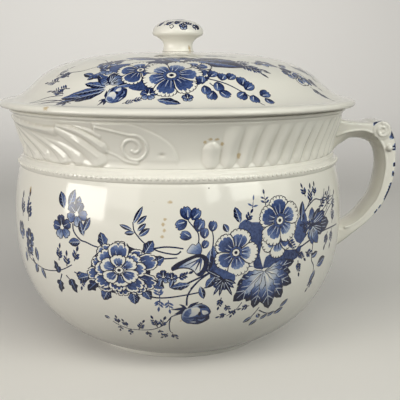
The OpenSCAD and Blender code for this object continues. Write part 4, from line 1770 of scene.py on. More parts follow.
    def parts(self) -> list[tuple[Points, Points]]:
        """Strap, tail, drop, and the boss, scroll and pearl of each side.

        Returns:
            Points and triangles of each.
        """
        strap = smooth_path(self.spine, 8)
        strap[:, 3] = self.width - strap[:, 3]
        up = np.linspace(self.tail_up, self.drop_down, 14)
        out = self.bowl.belly_radius(self.bowl.band_z + up) - self.bowl.belly_r
        tail = np.column_stack([out, up, np.full(14, self.tail_t), np.linspace(self.tail_w, self.drop_w, 14), 0 * up])
        made = [self.sweep(strap, self.square, 64, 0), self.sweep(tail, 2, 24, 0), self.boss(),
                self.ball(out[-1] + self.drop_out, self.drop_down, 0,
                          (self.drop_r, self.drop_r + self.drop_w / 2, self.drop_r))]
        t = np.linspace(0, 1, 40)
        a = np.radians(self.scroll_from - self.scroll_turn * t)
        r = self.scroll_r - (self.scroll_r - self.scroll_t / 2) * t
        thick = np.full(40, self.scroll_t)
        x, y = self.scroll_at
        curl = np.column_stack([x + r * np.cos(a), y + r * np.sin(a), thick, thick, 0 * t])
        arris = np.column_stack([strap[:, :2] - left_of(strap[:, :2]) * (strap[:, 2:3] / 2 - 0.35 * self.ridge_t),
                                 np.full((len(strap), 2), self.ridge_t), np.zeros(len(strap))])
        for side in (-1, 1):
            face = side * (self.width / 2 + self.boss_out)
            made += [self.sweep(curl, 2, 12, face), self.ball(*self.pearl_at, face, (self.pearl_r,) * 3),
                     self.sweep(arris[8:-12], 2, 10, side * (self.width / 2 - 0.3 * self.ridge_t))]
        return made

    def tones(self, points: Points) -> Points:
        """The print's tone at points of the handle, from the strokes on its outer face.

        Args:
            points: The points.

        Returns:
            Their tones.
        """
        path = smooth_path(np.array(self.spine)[:, :2], 8)
        lengths = lengths_of(path)
        spots = points[:, [0, 2]] - (self.bowl.belly_r, self.bowl.band_z)
        near = np.array([np.argmin(norm(path - p, axis=1)) for p in spots])
        outer = np.sum(left_of(path)[near] * (spots - path[near]), axis=1) > 1.2
        place = np.column_stack([lengths[near], np.abs(points[:, 1])])
        best = np.full(len(points), 9.0)
        for stroke in self.strokes:
            line = [(np.interp(8 * s, np.arange(len(path)), lengths), y) for s, y in stroke]
            for p, q in zip(np.array(line[:-1]), np.array(line[1:])):
                t = np.clip((place - p) @ (q - p) / ((q - p) @ (q - p)), 0, 1)
                best = np.minimum(best, norm(place - p - t[:, None] * (q - p), axis=1))
        return np.where(outer, np.clip(1.6 - best / 0.45, 0, 0.95), 0)

    def build(self, glaze: Material) -> None:
        """Makes the handle from its parts, blended as cast in one mould, its ends sunk in the bowl's wall.

        Args:
            glaze: Its material.
        """
        skin = Skin()
        for points, triangles in self.parts():
            skin.add(points, None, triangles)
        piece = skin.make("handle_moulded", exact=False)
        remesh = piece.modifiers.new("blend", "REMESH")
        remesh.mode = "VOXEL"
        remesh.voxel_size = self.grain * MM
        remesh.use_smooth_shade = True
        relax = piece.modifiers.new("relax", "SMOOTH")
        relax.factor = 0.5
        relax.iterations = 3
        mesh = settled(piece)
        flat = np.empty(3 * len(mesh.vertices))
        mesh.vertices.foreach_get("co", flat)
        points = flat.reshape(-1, 3) / MM
        radius = np.hypot(points[:, 0], points[:, 1])
        least = self.bowl.outer_radius(points[:, 2]) - self.buried
        points[:, :2] *= np.maximum(1, least / radius)[:, None]
        mesh.vertices.foreach_set("co", (points * MM).ravel())
        write_values(mesh, "ink", "POINT", self.tones(points))
        mesh.update()
        dress(piece, glaze, "pot", "handle")


@dataclass(frozen=True)
class Lid:
    """The loose lid: an overhanging rounded edge, a hollow, a dome and a locating flange below."""

    bowl: Bowl
    overhang: float = 5.9
    wall: float = 5.0
    height: float = 34.7
    edge_h: float = 4.2
    edge_round: float = 1.5
    edge_lift: float = 1.2
    bend_in: float = 24.0
    bend_up: float = 17.0
    flange_h: float = 8.0
    flange_t: float = 4.5
    flange_clear: float = 2.0
    knob_seat: float = 11.9
    print_out: float = 109.5

    @property
    def edge_r(self) -> float:
        """Outer radius of the lid."""
        return self.bowl.rim_r + self.overhang

    @property
    def top_z(self) -> float:
        """Height of the lid's top."""
        return self.bowl.rim_z + self.height

    def dome_path(self) -> Points:
        """Profile of the upper side from the edge inwards to the knob's seat.

        Returns:
            The profile's points.
        """
        base = self.bowl.rim_z + self.edge_lift
        edge_top = (self.edge_r - self.edge_h, base + self.edge_h)
        bend = np.array((self.edge_r - self.bend_in, self.bowl.rim_z + self.bend_up))
        pull = 0.62 * self.bend_up
        edge = cubic((self.edge_r, base + self.edge_round), (self.edge_r, base + 0.75 * self.edge_h),
                     (self.edge_r - 0.4 * self.edge_h, base + self.edge_h), edge_top, 14)
        cove = cubic(edge_top, (edge_top[0] - 0.27 * self.bend_in, edge_top[1]),
                     bend + (0.25 * self.bend_in, -0.35 * self.bend_up), bend, 18)
        dome = cubic(bend, bend + (-pull, pull), (0.54 * self.bowl.belly_r, self.top_z),
                     (self.knob_seat, self.top_z), 46)
        return np.vstack([edge, cove, dome])

    def build(self, glaze: Material, layout: Iterable[Placed]) -> None:
        """Makes the lid with its print, in front and again behind.

        Args:
            glaze: Its material.
            layout: The print of one side.
        """
        dome = self.dome_path()
        split = int(np.argmax(dome[:, 0] < self.print_out))
        printed = Outline(dome[split - 1 :])
        rim = self.bowl.rim_z
        seat = self.bowl.rim_r - self.bowl.rim_round
        flange_r = self.bowl.waist_r - self.bowl.wall - self.flange_clear
        inner = flange_r - self.flange_t
        under = Outline(dome)
        under = under.points - under.normals * self.wall
        under = under[(under[:, 0] < inner - 2) & (under[:, 0] > self.knob_seat)][::-1]
        low = rim - self.flange_h
        flange = [(inner, rim - 1), (inner, low), (flange_r, low), (flange_r, rim), (seat, rim),
                  (seat, rim + self.edge_lift)]
        edge = arc(self.edge_r - self.edge_round, rim + self.edge_lift + self.edge_round, self.edge_round, -90, 0)
        below = softened(np.vstack([[(0, self.top_z - self.wall)], under, flange, edge]), 0.6, 3)
        skin = Skin()
        skin.turn(Outline(np.vstack([below, dome[:split]])))
        skin.turn(Outline(np.array([dome[-1], (0.0, self.top_z)])))
        sheet = DiscSheet(printed, skin.columns, self.knob_seat)
        sheet.lay(layout)
        sheet.lay(layout, 180)
        sheet.cut(skin)
        dress(skin.make("lid_glazed"), glaze, "lid", "lid")


@dataclass(frozen=True)
class Knob:
    """The mushroom knob on the lid."""

    lid: Lid
    radius: float = 16.6
    height: float = 20.7
    lip: float = 11.8
    stem_r: float = 9.4
    foot_r: float = 10.4

    def build(self, glaze: Material, layout: Iterable[Placed]) -> None:
        """Makes the knob with small printed sprigs on its cap.

        Args:
            glaze: Its material.
            layout: The print of its cap.
        """
        z = self.lid.top_z
        u = np.radians(np.linspace(0, 90, 40))
        cap = np.column_stack([self.radius * np.cos(u) ** (2 / 2.3),
                               z + self.lip + (self.height - self.lip) * np.sin(u) ** (2 / 2.1)])
        foot, neck = np.array((self.foot_r, z)), np.array((self.stem_r, z))
        up = np.array((0, self.lip))
        brim = [(share * self.radius, z + rise * self.lip) for share, rise in ((0.75, 0.75), (0.97, 0.9))]
        stem = np.vstack([[(0, z), foot], cubic(foot, neck + 0.12 * up, neck + 0.3 * up, neck + 0.36 * up, 10),
                          cubic(neck + 0.36 * up, neck + 0.6 * up, *brim, 12)])
        split = int(np.argmax(cap[:, 0] < 0.995 * self.radius))
        skin = Skin()
        skin.turn(Outline(np.vstack([stem, cap[: split + 1]])))
        eye = 0.6
        top = cap[split:]
        top = np.vstack([top[top[:, 0] > eye], [(eye, cap[-1, 1] - 0.01)]])
        skin.turn(Outline(np.array([top[-1], (0.0, cap[-1, 1])])))
        sheet = DiscSheet(Outline(top), skin.columns, eye)
        sheet.lay(layout)
        sheet.cut(skin)
        dress(skin.make("knob_glazed"), glaze, "lid", "knob")


# The print of one side in painting order, later motifs over earlier ones
BELLY_PRINT = (
    # Stems under the flowers
    *stems(DEEP, (0.8, -62, 70.4, 5, -5, 14, -7.5, 23, -9, 33, -8, 42, -5.5, 50, -1.5),
        (1, -33.9, 93.6, 0.4, -4, 2.6, -6.9, 5.6, -9.1, 9.2, -9.8, 13.7, -11.3, 17.6, -12), (0.9, 0.6, 81.5, -2.4,
        -1.7, -7.5, -1.2, -11.8, -0.2, -15, 1.1, -18.4, 3, -21.6, 5.6, -24.4, 8.8, -26, 11.5, -26.5, 15.8),
        (1.1, -11.6, 80.6, 3.4, 1.3, 7.9, 2.3, 13.9, 3.3, 19.3, 3.1, 24.2, 2.3), (1, -6.9, 77.3, 5.6, 0, 12, 0.5),
        (1.1, -13.5, 57.3, 3.6, -1.6, 8, -3, 13.6, -3.6, 19.2, -3.2, 24.7, -2.3, 30.4, -1.3, 36, -0.2),
        (1.1, 2.3, 48.8, 0.2, 5.3, 1.5, 9.1, 4.2, 13, 7.4, 16.6),
        (1.2, 1.6, 61.8, 4.4, 2.4, 9.3, 4.7, 13.8, 6.9, 17.5, 9), (1, 3.5, 59.4, 4.3, 4.8, 9.8, 8.7, 15.8, 11.9),
        (0.7, 1.4, 44.1, -3.8, -1.4, -6.8, -2.9, -8.9, -6.2, -11.3, -9.6, -14.6, -12.4, -18, -14.1, -22.2, -15,
        -27.7, -15.3, -31.9, -15, -36.2, -13.3, -39.8, -11.3, -42, -9.5),
        (0.7, -2.8, 40.7, -1, -4.8, -0.8, -11.1, 0.8, -13.5),
        (1.2, 27.4, 69.1, 9.3, 4.1, 21.5, 6.4, 33.9, 10.3, 49.3, 13.6, 75.3, 13),
        (0.8, 47.8, 76.9, -0.2, -5.5, 0.4, -10.5, 3.7, -14.5, 4.6, -18.6, 4.4, -23.1, 3, -28.3),
        (0.8, 40.7, 94.3, 6.5, 4.9, 15, 9, 21.9, 7.7, 28.1, 8.3, 30.4, 4.7, 34.4, 3.4),
        (0.7, 41.2, 94.5, 5, 4, 9, 9, 12, 14), (0.7, 52.5, 94.5, 8, 4, 17, 6), (0.7, 54, 90.5, 8, 5, 16, 8),
        (0.7, 51, 98, 9, 3, 20, 4), (0.7, 50.5, 95, 6, 6, 10, 13), (0.6, 55.5, 94, 6, 6, 10, 12),
        (0.6, 59.5, 91, 5, 6, 8, 12)),
    *stems(LINE, (0.9, 46, 86.5, -5, -4, -12, -10)),
    *stems(DEEP, (0.8, 27.5, 43.3, -1.7, -3.4, -3.6, -6.7, -6.8, -10.7),
        (0.8, 27.8, 41.1, 6.1, -3.6, 11.6, -4.1, 16.7, -3), (0.9, -40.1, 61.9, -2.6, -4.5),
        (0.9, -38.3, 61.7, 2.6, -2.4)),
    # Left edge sprays
    *many(Spray, 5, (12, 4, 5, 0.42, 2, -57.6, 88.5, 76, 1.2), (9, 3, 4.4, 0.42, 1, -62.5, 90, 85, 1.2)),
    *many(Starflower, 3, (5, 5, 60, -64.7, 80.8, 0, 1.12), (5.2, 5, 20, -57.2, 78.2, 0, 1.12),
        (4.2, 5, 40, -57.8, 72.9, 0, 1.12)),
    *many(Spray, 5, (8, 2, 4.6, 0.4, 1, -60, 74, 300, 1.2)),
    *many(Leaf, 2, (6, 3, -61.8, 68, 250, 1.2), (7, 3.2, -52.7, 65.5, 95, 1.2), (6, 3.2, -53.6, 63, 235, 1.2),
        (6, 2.8, -51.2, 62, 290, 1.2)),
    *copies(IVY_LEAF, (-41.2, 62.3, 115, 0.85), (-41.4, 57.4, 255, 0.95), (-36.3, 59.9, 285, 1)),
    *many(Spray, 5, (6, 3, 3.4, 0.4, 0, -40.6, 70, 80, 1.2), (5, 2, 3.4, 0.42, 0, -37.3, 67.4, 85, 1.2),
        (5, 2, 3.4, 0.46, 0, -33.9, 71.6, 70, 1.2), (7, 3, 3, 0.42, 1, -34.5, 64.8, 340, 1.2),
        (6, 3, 2.8, 0.46, 0, -30.8, 63.5, 250, 1.2)),
    # Small flowers at upper left
    *many(Leaf, 2, (8, 4.4, -37.6, 101.6, 112, 1.2), (9, 4, -35.6, 102.4, 72, 1.2), (6, 3.4, -32.4, 102, 80, 1.2)),
    *many(Starflower, 3, (6.4, 5, 66, -32.5, 99.2, 0, 1.12), (6.2, 5, 100, -38.4, 90.4, 0, 1.12)),
    *many(Leaf, 2, (7, 3.2, -29.9, 87.4, 108, 1.2), (7.5, 2.8, -29.8, 90, 62, 1.2),
        (7, 3.8, -31.2, 83.4, 188, 1.2)),
    # The peony and the leaves round it
    *many(Leaf, 3, (9, 6.4, 2, -22.6, 81.6, 105), (9, 6.4, 2, -10.2, 79.6, 58), (8, 6, 2, -8.2, 74, 30),
        (8, 5.4, 2, -8.4, 64, 330), (9, 6, 2, -28.6, 64, 200)),
    *copies(IVY_LEAF, (-26.4, 60.5, 222, 1)),
    *many(Leaf, 3, (9, 7, 2, -22.2, 57.6, 240), (8, 7, 2, -14.2, 57, 272), (8, 6, 2, -11, 59.5, 300)),
    Placed(Peony(21.5), -18.2, 69.4, 12, 1, 0.8),
    # Fern over the double stem
    *many(Leaf, 4, (10.6, 2.4, 0, 0, -13.4, 96.6, 62), (7, 2.2, 0, 0, -12.3, 96.3, 42),
        (6, 2.2, 0, 0, -12.1, 92.6, 42), (7.4, 2.8, 0, 0, -11.8, 89.7, 36), (7.4, 2, 0, 0, -13.9, 92.9, 160),
        (5.4, 2.2, 0, 0, -13.2, 91.4, 185)),
    # Cupped leaves over the folded leaf
    *stems(DEEP, (0.8, 6.2, 80.2, -1.1, 4.5, -0.7, 7.8, -1.3, 11.7, -3.6, 14.7, -6, 17.7, -6.7, 19.4),
        (0.8, 9.4, 80, 1.1, 4.4, 1.3, 8.9, 0.7, 12.2)),
    *copies(CUP_LEAF, (2.7, 99, 106, 1.08), (3.9, 99, 58, 1), (2.3, 98, 208, 0.98), (5.3, 92.4, 72, 1.08),
        (3.6, 89.2, 161, 0.92), (7.4, 88.5, 88, 0.85), (9.7, 92.2, 80, 0.85), (7.1, 82.9, 64, 0.7)),
    Placed(ground(3.5, 6, 7, 5.5, 8, -2, 7, -12, 3, -16, 1.5, -8), 8.2, 78),
    *many(Leaf, 4, (13, 4.2, 0, 2, 9.4, 82, 262), (10, 4, 0, 2, 10.4, 84, 284)),
    *copies(SHELL_LEAF, (6.3, 79.5)),
    *many(Starflower, 1, (3.8, -4.7, 66.7)),
    *many(Leaf, 4, (4.5, 2.4, 0, 0, -5.3, 65, 255)),
    *many(Starflower, 1, (3, -2.2, 66)),
    *many(Leaf, 4, (5, 2.2, 0, 0, -1.8, 64.8, 250)),
    *many(Spray, 5, (7, 3, 3.2, 0.5, 1, -0.8, 66, 14)),
    *many(Leaf, 3, (10.5, 4.6, 3, 3.1, 62.1, 191)),
    *many(Spray, 7, (5, 2, 4, 0.36, 0, 46, MID, -6, 54.2, 100), (5, 2, 4, 0.36, 0, 46, MID, -6, 53, 262),
        (6, 2, 3.6, 0.4, 0, 46, MID, -3.4, 52.4, 275)),
    # Bud and the fine spray under it
    *copies(BUD, (5.4, 42.6)),
    *many(Spray, 5, (7, 3, 3.4, 0.44, 0, -7.5, 33.5, 108), (6, 2, 3.6, 0.44, 0, -6.5, 34, 68),
        (7, 3, 3.2, 0.46, 0, -14.5, 31, 62), (4, 2, 2.8, 0.5, 0, -18.5, 32.6, 110),
        (4, 2, 2.8, 0.5, 0, -21.5, 34.4, 95)),
    *many(Leaf, 4, (3.2, 1.9, 0, 0, -24.4, 37.4, 150)),
    *many(Spray, 5, (4, 2, 2.8, 0.5, 0, -11.5, 30.2, 280), (4, 2, 2.6, 0.5, 0, -17.5, 30.8, 255),
        (3, 1, 2.6, 0.5, 0, -21, 32.4, 250), (3, 1, 2.6, 0.5, 0, -7, 31.6, 285),
        (4, 2, 3, 0.46, 0, -2.6, 28.6, 300), (4, 2, 3, 0.46, 0, -4.2, 28.8, 230)),
    # Ground between the two open flowers, with leaves over it
    Placed(ground(3.5, 1.9, 7.3, 0, 12.2, -0.4, 14.8, -3.4, 14.6, -10.2, 12.5, -19.1, 15.4, -27.7, 13, -27.7, 9.1,
        -26.3, 8.4, -20.2, 7.5, -14.3, 6.4, -9, 4, -6, 1.4, -4.6, -1, -2.8), 18.3, 95.8),
    Placed(ground(-5, -0.1, -8.4, -2.1, -11.9, -4.2, -14.3, -2.8, -12.1, -0.1, -6.1, 1.6), 23.2, 70.1),
    Placed(ground(1.5, 6.7, 7.7, 8.5, 15.5, 9.1, 23.5, 8.1, 28.7, 9.9, 25.5, 2.7, 16.2, 0.7, 6.7, 0.3), 26.4, 68.2),
    *many(Leaf, 3, (9, 4.6, 2, 18.4, 96.2, 108)),
    *many(Spray, 5, (5, 2, 3.4, 0.44, 0, 20.4, 96.4, 58)),
    *many(Leaf, 4, (5, 3, 0, 1, 14.6, 91.5, 120)),
    *many(Blossom, 5, (13.2, 5, 70, 160, 5, 17.1, 79.4, 0, 1, 0.98), (11.5, 5, 54, 60, 8, 31.5, 84.5)),
    *many(Spray, 5, (10, 4, 4, 0.4, -2, 35, 83.5, 325)),
    Placed(ground(5, 5, 8.4, 1, 8, -9, 3, -14, -3, -9, tone=0.5), 39.6, 93),
    *many(Blossom, 5, (14.6, 5, 92, 130, 6, 32.2, 95, 0, 1, 0.98)),
    # Sprays above and to the right of the open flowers
    *many(Spray, 7, (4, 1, 3.6, 0.3, 0, 70, MID, 22.6, 103.6, 80),
        (6, 2, 3.4, 0.4, 0, 60, DEEP, 27.2, 104.4, 95)),
    *many(Leaf, 4, (9, 3.4, 0, 1, 41.4, 92.5, 82, 1.25)),
    *many(Spray, 5, (4, 2, 3, 0.4, 0, 44, 106.2, 110, 1.25), (4, 2, 3, 0.4, 0, 48.8, 105.4, 80, 1.25),
        (7, 3, 3.2, 0.4, 0, 46, 101, 80, 1.25), (8, 3, 3.4, 0.36, 0, 56, 97, 55, 1.25),
        (8, 3, 3.4, 0.36, 0, 61, 93, 60, 1.25), (8, 3, 3.4, 0.36, 0, 51.5, 97, 40, 1.25)),
    Placed(Lily(((175, 8.4, 5, DEEP), (84, 10.5, 6, HAZE), (42, 13, 6, DEEP), (356, 22, 10,
        DEEP), (20, 17, 8, MID), (339, 15, 8, DEEP), (259, 8, 5, HAZE), (282, 12, 6, HAZE),
        (304, 14, 7, HAZE))), 46.4, 88.3),
    *many(Spray, 5, (9, 3, 4, 0.4, 0, 49, 88, 172, 1.25), (8, 3, 3.6, 0.4, 0, 43.6, 82.5, 100, 1.25),
        (7, 3, 3.6, 0.4, 0, 61.4, 85, 80, 1.25), (7, 3, 3.6, 0.4, 0, 61.4, 82, 262, 1.25),
        (6, 3, 3.6, 0.42, 0, 57.5, 81, 250, 1.25), (8, 4, 3.4, 0.46, 0, 40, 74.6, 320),
        (8, 4, 3.4, 0.46, 0, 40.6, 69, 285), (5, 2, 3.2, 0.46, 0, 44, 73, 340, 1.25)),
    *many(Leaf, 4, (5, 2.6, 0, 1, 47.8, 68.6, 20, 1.25), (8, 5, 0, 2, 52.2, 61.6, 20, 1.25),
        (7, 3.6, 0, 1, 51.4, 58.8, 250, 1.25)),
    *many(Spray, 5, (5, 2, 3.2, 0.46, 0, 51, 54, 250, 1.25)),
    # Dark fern and the large vine leaf
    Placed(Tuft(13, 150, 335, 11), 13.4, 64.6),
    *many(Leaf, 4, (8, 4.6, 0, 2, 10.8, 66, 232), (8, 3.4, 0, 2, 6.4, 60.6, 285)),
    Placed(VineLeaf(), 27, 66.2),
    # Sprays at the bottom
    *many(Spray, 5, (6, 3, 3, 0.46, 0, 13.2, 53, 260), (5, 2, 2.8, 0.5, 0, 14.8, 48, 300)),
    *stems(DEEP, (0.6, 20.4, 48.5, -3, -5, -8, -9)),
    *many(Spray, 5, (4, 2, 2.8, 0.5, 0, 18.4, 44.4, 250), (4, 2, 2.8, 0.5, 0, 15.6, 41.6, 200),
        (5, 2, 3, 0.46, 0, 23.4, 45.6, 195)),
    *many(Leaf, 4, (6, 2.8, 0, 1, 25.6, 37.2, 222), (6, 2.8, 0, 1, 28.3, 34.4, 232),
        (4, 2.4, 0, 0, 27.6, 38.6, 300), (5.5, 2.6, 0, 1, 29.6, 34, 40), (5.5, 2.6, 0, 1, 32.4, 35.2, 36),
        (7, 3.4, 0, 1, 35.4, 35.8, 34), (7, 3, 0, 1, 37, 40, 48)),
)

# On the lid and the knob a level is the distance from the axis
LID_PRINT = (
    # Thin stems and twigs at the left
    *stems(DEEP, (0.8, -52.2, 108.4, 12, 6, 24, 8.5, 34, 9), (0.7, -47.5, 108.4, 10, 4, 22, 6),
        (0.7, -49.7, 83.5, 10, 3, 17, 12, 22, 20), (0.6, -50.2, 64, 9, 0, 18, -4), (0.6, -36, 66, 4, -10, 7, -16),
        (0.8, -52.6, 108, 8, 8, 20, 12.5), (0.9, -46.8, 106.9, 11, 5, 22, 10.5)),
    *many(Spray, 6, (9, 3, 4.6, 0.3, 1, 42, -55.6, 87.5, 75), (12, 4, 5, 0.28, 1, 42, -50, 90.4, 178),
        (15, 5, 5.2, 0.26, 1, 42, -41, 94, 182), (8, 3, 6.6, 0.34, 0, 34, -37.2, 101.8, 262),
        (9, 4, 4.6, 0.3, 1, 42, -42, 97.5, 165), (9, 3, 4.4, 0.36, 1, 42, -47, 87, 160),
        (8, 3, 4.4, 0.36, 1, 42, -48, 84, 200)),
    *many(Leaf, 4, (9, 4, 0, 1, -34, 86, 165), (8, 4.4, 0, 1, -32, 84, 225)),
    *many(Starflower, 1, (5, -32, 70.5), (5.8, -29.8, 80), (4.4, -35.6, 73.5)),
    *many(Spray, 5, (8, 3, 4.4, 0.4, 1, -34, 68, 20)),
    # Grounds behind the flowers
    Placed(ground(2, 12, 12, 20, 30, 25, 46, 22, 50, 8, 40, -2, 14, -6, tone=0.66), -22.5, 83),
    Placed(ground(6, 7, 20, 9, 30, 5, 33, -3, 16, -7, tone=0.7), 4, 68),
    Placed(ground(11, 3, 19, 0, 20, -10, 8, -12, -2, -7, tone=0.5), -28.7, 72.5),
    *many(Leaf, 4, (24, 8, 3, 4, -31, 60, 4), (22, 8, 3, 4, -9, 58.5, 0), (24, 8, 3, 4, 10, 60.5, 352)),
    *many(Spray, 5, (15, 5, 5.5, 0.4, 1, -16, 63, 12), (15, 5, 5.5, 0.4, 1, 4, 62, 350)),
    Placed(ground(9, 3, 12, -3, 6, -6, -1, -4), -16.5, 90),
    # Pointed leaves, buds and the second flower
    *many(Leaf, 4, (19, 6.5, 3, 4, -25.4, 94, 212), (25, 5, 2, 5, -25.7, 93.4, 190),
        (16, 5, 2, 4, -25.7, 92.6, 168), (28, 4.6, 2, 5, -26.6, 95.6, 199), (14, 4.6, 0, 3, -33.4, 99, 186)),
    *copies(CUP_LEAF, (-33.4, 79, 110, 0.95), (-30.6, 87, 150, 0.9)),
    *many(Leaf, 4, (13, 6, 2, 3, -25.5, 91, 140)),
    Placed(Lily(((150, 9, 6, HAZE), (100, 10, 6, DEEP), (60, 11, 6, HAZE), (25, 10, 5, HAZE))),
        -24.5, 91),
    *copies(BUD, (-20.6, 97.2, 70, 0.86)),
    *many(Leaf, 4, (13, 4.5, 0, 0, -21.5, 92, 18)),
    *many(Spray, 5, (7, 3, 3.4, 0.3, 0, -17, 103.4, 25), (7, 3, 3.4, 0.3, 0, -14.6, 101.4, 25)),
    *many(Blossom, 5, (13, 5, 40, 250, 11, -15.4, 79.5)),
    *many(Starflower, 1, (4.8, -9.6, 96.4), (3.2, 2.9, 98.6)),
    # The large flower and the dark leaves about it
    *many(Leaf, 3, (14, 7, 3, 3, 72, 60), (18, 9, 4, 6, 68, 20), (20, 9, 4, 13, 67.5, 342), (14, 8, 3, 1, 68, 135)),
    *many(Blossom, 5, (11, 5, 20, 300, 14, 6.6, 77), (17.5, 6, 75, 290, 12, -2.5, 84.5)),
    *many(Leaf, 3, (14, 6.4, 3, -6.5, 100, 348)),
    # Sprays near the knob's foot
    *many(Spray, 5, (16, 4, 6, 0.34, 2, -20, 52, 10), (18, 4, 6, 0.34, 2, 14, 50, 350)),
    *stems(LINE, (1.4, -34, 40, 20, 3, 44, 0), (1.2, 12, 34, 14, 2, 26, 0)),
    # Cupped leaves on their stem at the right
    *stems(DEEP, (0.9, 10.5, 87.2, 11, -4, 18, -8, 25, -13, 31, -20), (0.7, 11, 90, 4, -5, 8, -10)),
    *copies(CUP_LEAF, (8.4, 90.5, 95, 1), (11.8, 86, 55, 1.05), (15.8, 88.5, 70, 1), (18.6, 88, 50, 1),
        (23, 92, 80, 1.1), (23.4, 94, 40, 1.15), (13.8, 89.5, 275, 1.05), (11.6, 94.5, 250, 1.1),
        (13.8, 94.5, 320, 1.05), (27.8, 98, 20, 1.1), (22.6, 95.6, 225, 1.1), (25.2, 97.6, 255, 1.05),
        (28.8, 100, 290, 0.9), (9, 91.5, 280, 1)),
    # Fern and the cluster at the right
    *many(Spray, 6, (16, 5, 6, 0.28, 2, 44, 26.5, 70, 322), (12, 4, 5, 0.3, 1, 44, 27.5, 68, 350),
        (14, 4, 6.5, 0.3, 1, 46, 29, 72, 300), (9, 3, 5.5, 0.3, 1, 46, 31, 78, 330)),
    *many(Leaf, 4, (7, 4.4, 0, 1, 43.8, 70.5, 200), (7, 4.4, 0, 1, 43.8, 70.5, 270),
        (7, 4.4, 0, 1, 44.5, 70.5, 340)),
    Placed(ground(7, -5, 8, -11, 3, -12, -2, -5, tone=0.62), 51, 80),
    *many(Spray, 5, (18, 6, 5, 0.36, 1, 64, 74, 290), (14, 5, 5, 0.36, 1, 67.5, 80, 300),
        (10, 4, 4.4, 0.36, 1, 57, 94, 290)),
    *many(Starflower, 1, (5.4, 45.5, 71.5)),
    *many(Leaf, 4, (7, 3.4, 0, 1, 47, 72, 300)),
    *many(Spray, 5, (12, 4, 5, 0.4, 1, 49.6, 76, 300)),
    *many(Leaf, 4, (8, 4.4, 0, 1, 52.5, 77.4, 20)),
    *many(Starflower, 1, (5, 54, 86), (5.4, 51.3, 84.6)),
    *many(Blossom, 5, (7, 5, 10, 150, 15, 55.2, 88.2)),
    *many(Leaf, 4, (8, 4.6, 0, 1, 58, 88, 290)),
    *many(Spray, 5, (10, 4, 4.6, 0.36, -1, 61, 88, 300), (9, 4, 4, 0.4, 1, 59, 97.5, 275),
        (12, 4, 5, 0.34, 1, 66, 84, 20), (12, 4, 5, 0.34, 1, 74, 84, 330)),
)

KNOB_PRINT = (
    *many(Spray, 5, (6, 3, 3, 0.5, 1, -60, 15.2, 60), (7, 3, 3, 0.5, 1, -38, 14.4, 40),
        (6, 3, 3, 0.5, 1, -16, 12.8, 20), (7, 3, 3, 0.5, -1, 14, 12.6, 10), (7, 3, 3, 0.5, -1, 34, 13.8, 330)),
    *stems(DEEP, (0.7, -22, 15, 1.6, 1.5, 3.2, 0.2, 2.2, -1.5, 0.8, -0.8)),
    Placed(ground(3, 1, 5.4, 0, 5, -1.6, 1, -1.8, tone=0.5), 4, 15.1),
    *many(Starflower, 1, (2.6, 13, 15)),
    Placed(ground(2, 2.6, 3.8, 1, 3.2, -1.6, 0.6, -1.8, tone=0.9), 48, 15.2),
    *many(Starflower, 1, (3.4, 20, 3.5)),
    *many(Leaf, 2, (4.5, 2.4, 0, 7, 20)),
    *many(Spray, 5, (7, 3, 2.6, 0.5, 1, 120, 13, 70), (7, 3, 2.6, 0.5, 1, 180, 13, 90),
        (7, 3, 2.6, 0.5, 1, 250, 13, 70)),
)


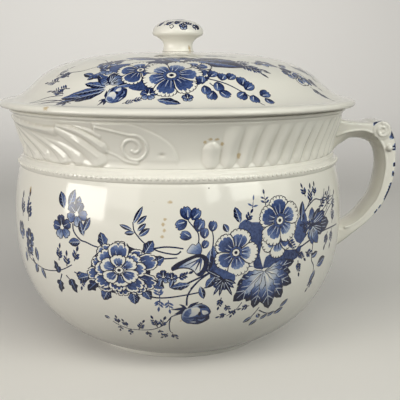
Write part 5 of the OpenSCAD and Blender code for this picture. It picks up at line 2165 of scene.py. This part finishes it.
@dataclass(frozen=True)
class Studio:
    """A plain pale sweep, soft lamps and the camera at the photographed angle."""

    azimuth: float = -4.0
    distance: float = 535.0
    eye_height: float = 188.9
    pitch: float = 10.45
    focal_px: float = 805.0
    image_px: float = 400.0
    axis_px: float = 178.4
    floor: str = "#d8d5d0"
    floor_bounce: str = "#53514d"
    floor_glow: float = 0.12
    world: str = "#f2f4f8"
    world_strength: float = 0.22

    def camera(self) -> None:
        """Places the camera; the pot's axis lies a little left of the middle of the picture."""
        data = bpy.data.cameras.new("camera")
        data.sensor_width = 36
        data.lens = self.focal_px / self.image_px * data.sensor_width
        data.clip_start = 0.02
        made = linked("camera", data)
        aim = math.radians(self.azimuth)
        made.location = Vector((math.sin(aim) * self.distance, -math.cos(aim) * self.distance, self.eye_height)) * MM
        aside = math.atan((self.image_px / 2 - self.axis_px) / self.focal_px)
        made.rotation_euler = (math.radians(90 - self.pitch), 0, aim - aside)
        bpy.context.scene.camera = made

    def sweep(self) -> None:
        """Lays the floor, which curves up into a backdrop."""
        outline = np.vstack([[(-3.0, 0.0), (1.2, 0.0)], arc(1.2, 1.0, 1.0, -90, 0, 12), [(2.2, 3.5)]])
        points = [(x, y, z) for y, z in outline for x in (-5.0, 5.0)]
        mesh = bpy.data.meshes.new("floor")
        mesh.from_pydata(points, [], [(2 * i, 2 * i + 1, 2 * i + 3, 2 * i + 2) for i in range(len(outline) - 1)])
        mesh.polygons.foreach_set("use_smooth", np.ones(len(mesh.polygons), bool))
        paper = bpy.data.materials.new("matt_studio_paper")
        paper.use_nodes = True
        tree = paper.node_tree
        tree.nodes.clear()
        path = add_node(tree, "ShaderNodeLightPath").outputs
        seen = path["Is Camera Ray"]
        for ray_kind in ("Is Glossy Ray", "Is Transmission Ray"):
            seen = add_node(tree, "ShaderNodeMath", {0: seen, 1: path[ray_kind]}, operation="MAXIMUM")
        glow = add_node(tree, "ShaderNodeMath", {0: seen, 1: self.floor_glow}, operation="MULTIPLY")
        tint = add_node(tree, "ShaderNodeMix", {
            "Factor": seen, "A": linear(self.floor_bounce), "B": linear(self.floor)}, data_type="RGBA")
        shader = add_node(tree, "ShaderNodeBsdfPrincipled", {
            "Base Color": tint, "Roughness": 0.9, "Emission Color": linear(self.floor), "Emission Strength": glow})
        add_node(tree, "ShaderNodeOutputMaterial", {"Surface": shader})
        mesh.materials.append(paper)
        linked("floor", mesh)

    def lamp(self, name: str, place: Sequence[float], size: tuple[float, float], watts: float, tint: str,
             target: Sequence[float] = (0, 0, 0.1)) -> None:
        """Hangs a soft rectangular lamp.

        Args:
            name: The lamp's name.
            place: Its place in metres.
            size: Its width and height in metres.
            watts: Its power.
            tint: Its colour.
            target: The place that it faces, in metres.
        """
        data = bpy.data.lights.new(name, "AREA")
        data.shape = "RECTANGLE"
        data.size, data.size_y = size
        data.energy = watts
        data.color = linear(tint)[:3]
        made = linked(name, data)
        made.location = place
        made.rotation_euler = (Vector(target) - Vector(place)).to_track_quat("-Z", "Y").to_euler()

    def build(self) -> None:
        """Sets up the camera, the floor, the lamps and the world."""
        self.camera()
        self.sweep()
        self.lamp("left_window", (-0.86, -0.96, 0.6), (0.6, 0.85), 3.0, "#fffcf4")
        self.lamp("left_side", (-1.33, -0.55, 0.24), (0.8, 0.46), 9.0, "#fffcf4")
        self.lamp("front_left", (-0.5, -1.4, 1.7), (1.5, 1.1), 8.6, "#fffcf4")
        self.lamp("front", (0.5, -1.35, 1.6), (1.2, 1.0), 6.6, "#fcfdf4")
        self.lamp("right_window", (0.81, -0.93, 0.67), (0.5, 0.8), 5.6, "#fcfef4")
        self.lamp("right_side", (1.3, -0.65, 0.6), (0.7, 0.8), 2.8, "#fcfef4")
        self.lamp("narrow_window", (0.39, -1.21, 0.58), (0.2, 0.55), 1.2, "#fcfef4")
        self.lamp("backdrop", (0.0, 0.9, 1.1), (1.6, 0.4), 12.0, "#ffffff", (0.0, 2.2, 0.7))
        world = bpy.data.worlds.new("studio")
        world.use_nodes = True
        sky = world.node_tree.nodes["Background"]
        sky.inputs["Color"].default_value = linear(self.world)
        sky.inputs["Strength"].default_value = self.world_strength
        bpy.context.scene.world = world
        bpy.context.scene.view_settings.view_transform = "Standard"


def main() -> None:
    """Builds the pot's pieces in order."""
    logging.basicConfig(level=logging.INFO, format="%(message)s")
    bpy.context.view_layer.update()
    glaze = PrintedGlaze().material()
    bowl = Bowl()
    lid = Lid(bowl)
    bowl.build(glaze, BELLY_PRINT)
    NeckBorder(bowl).build(glaze)
    BeadRow(bowl).build(glaze)
    Handle(bowl).build(glaze)
    lid.build(glaze, LID_PRINT)
    Knob(lid).build(glaze, KNOB_PRINT)
    Studio().build()


if __name__ == "__main__":
    main()
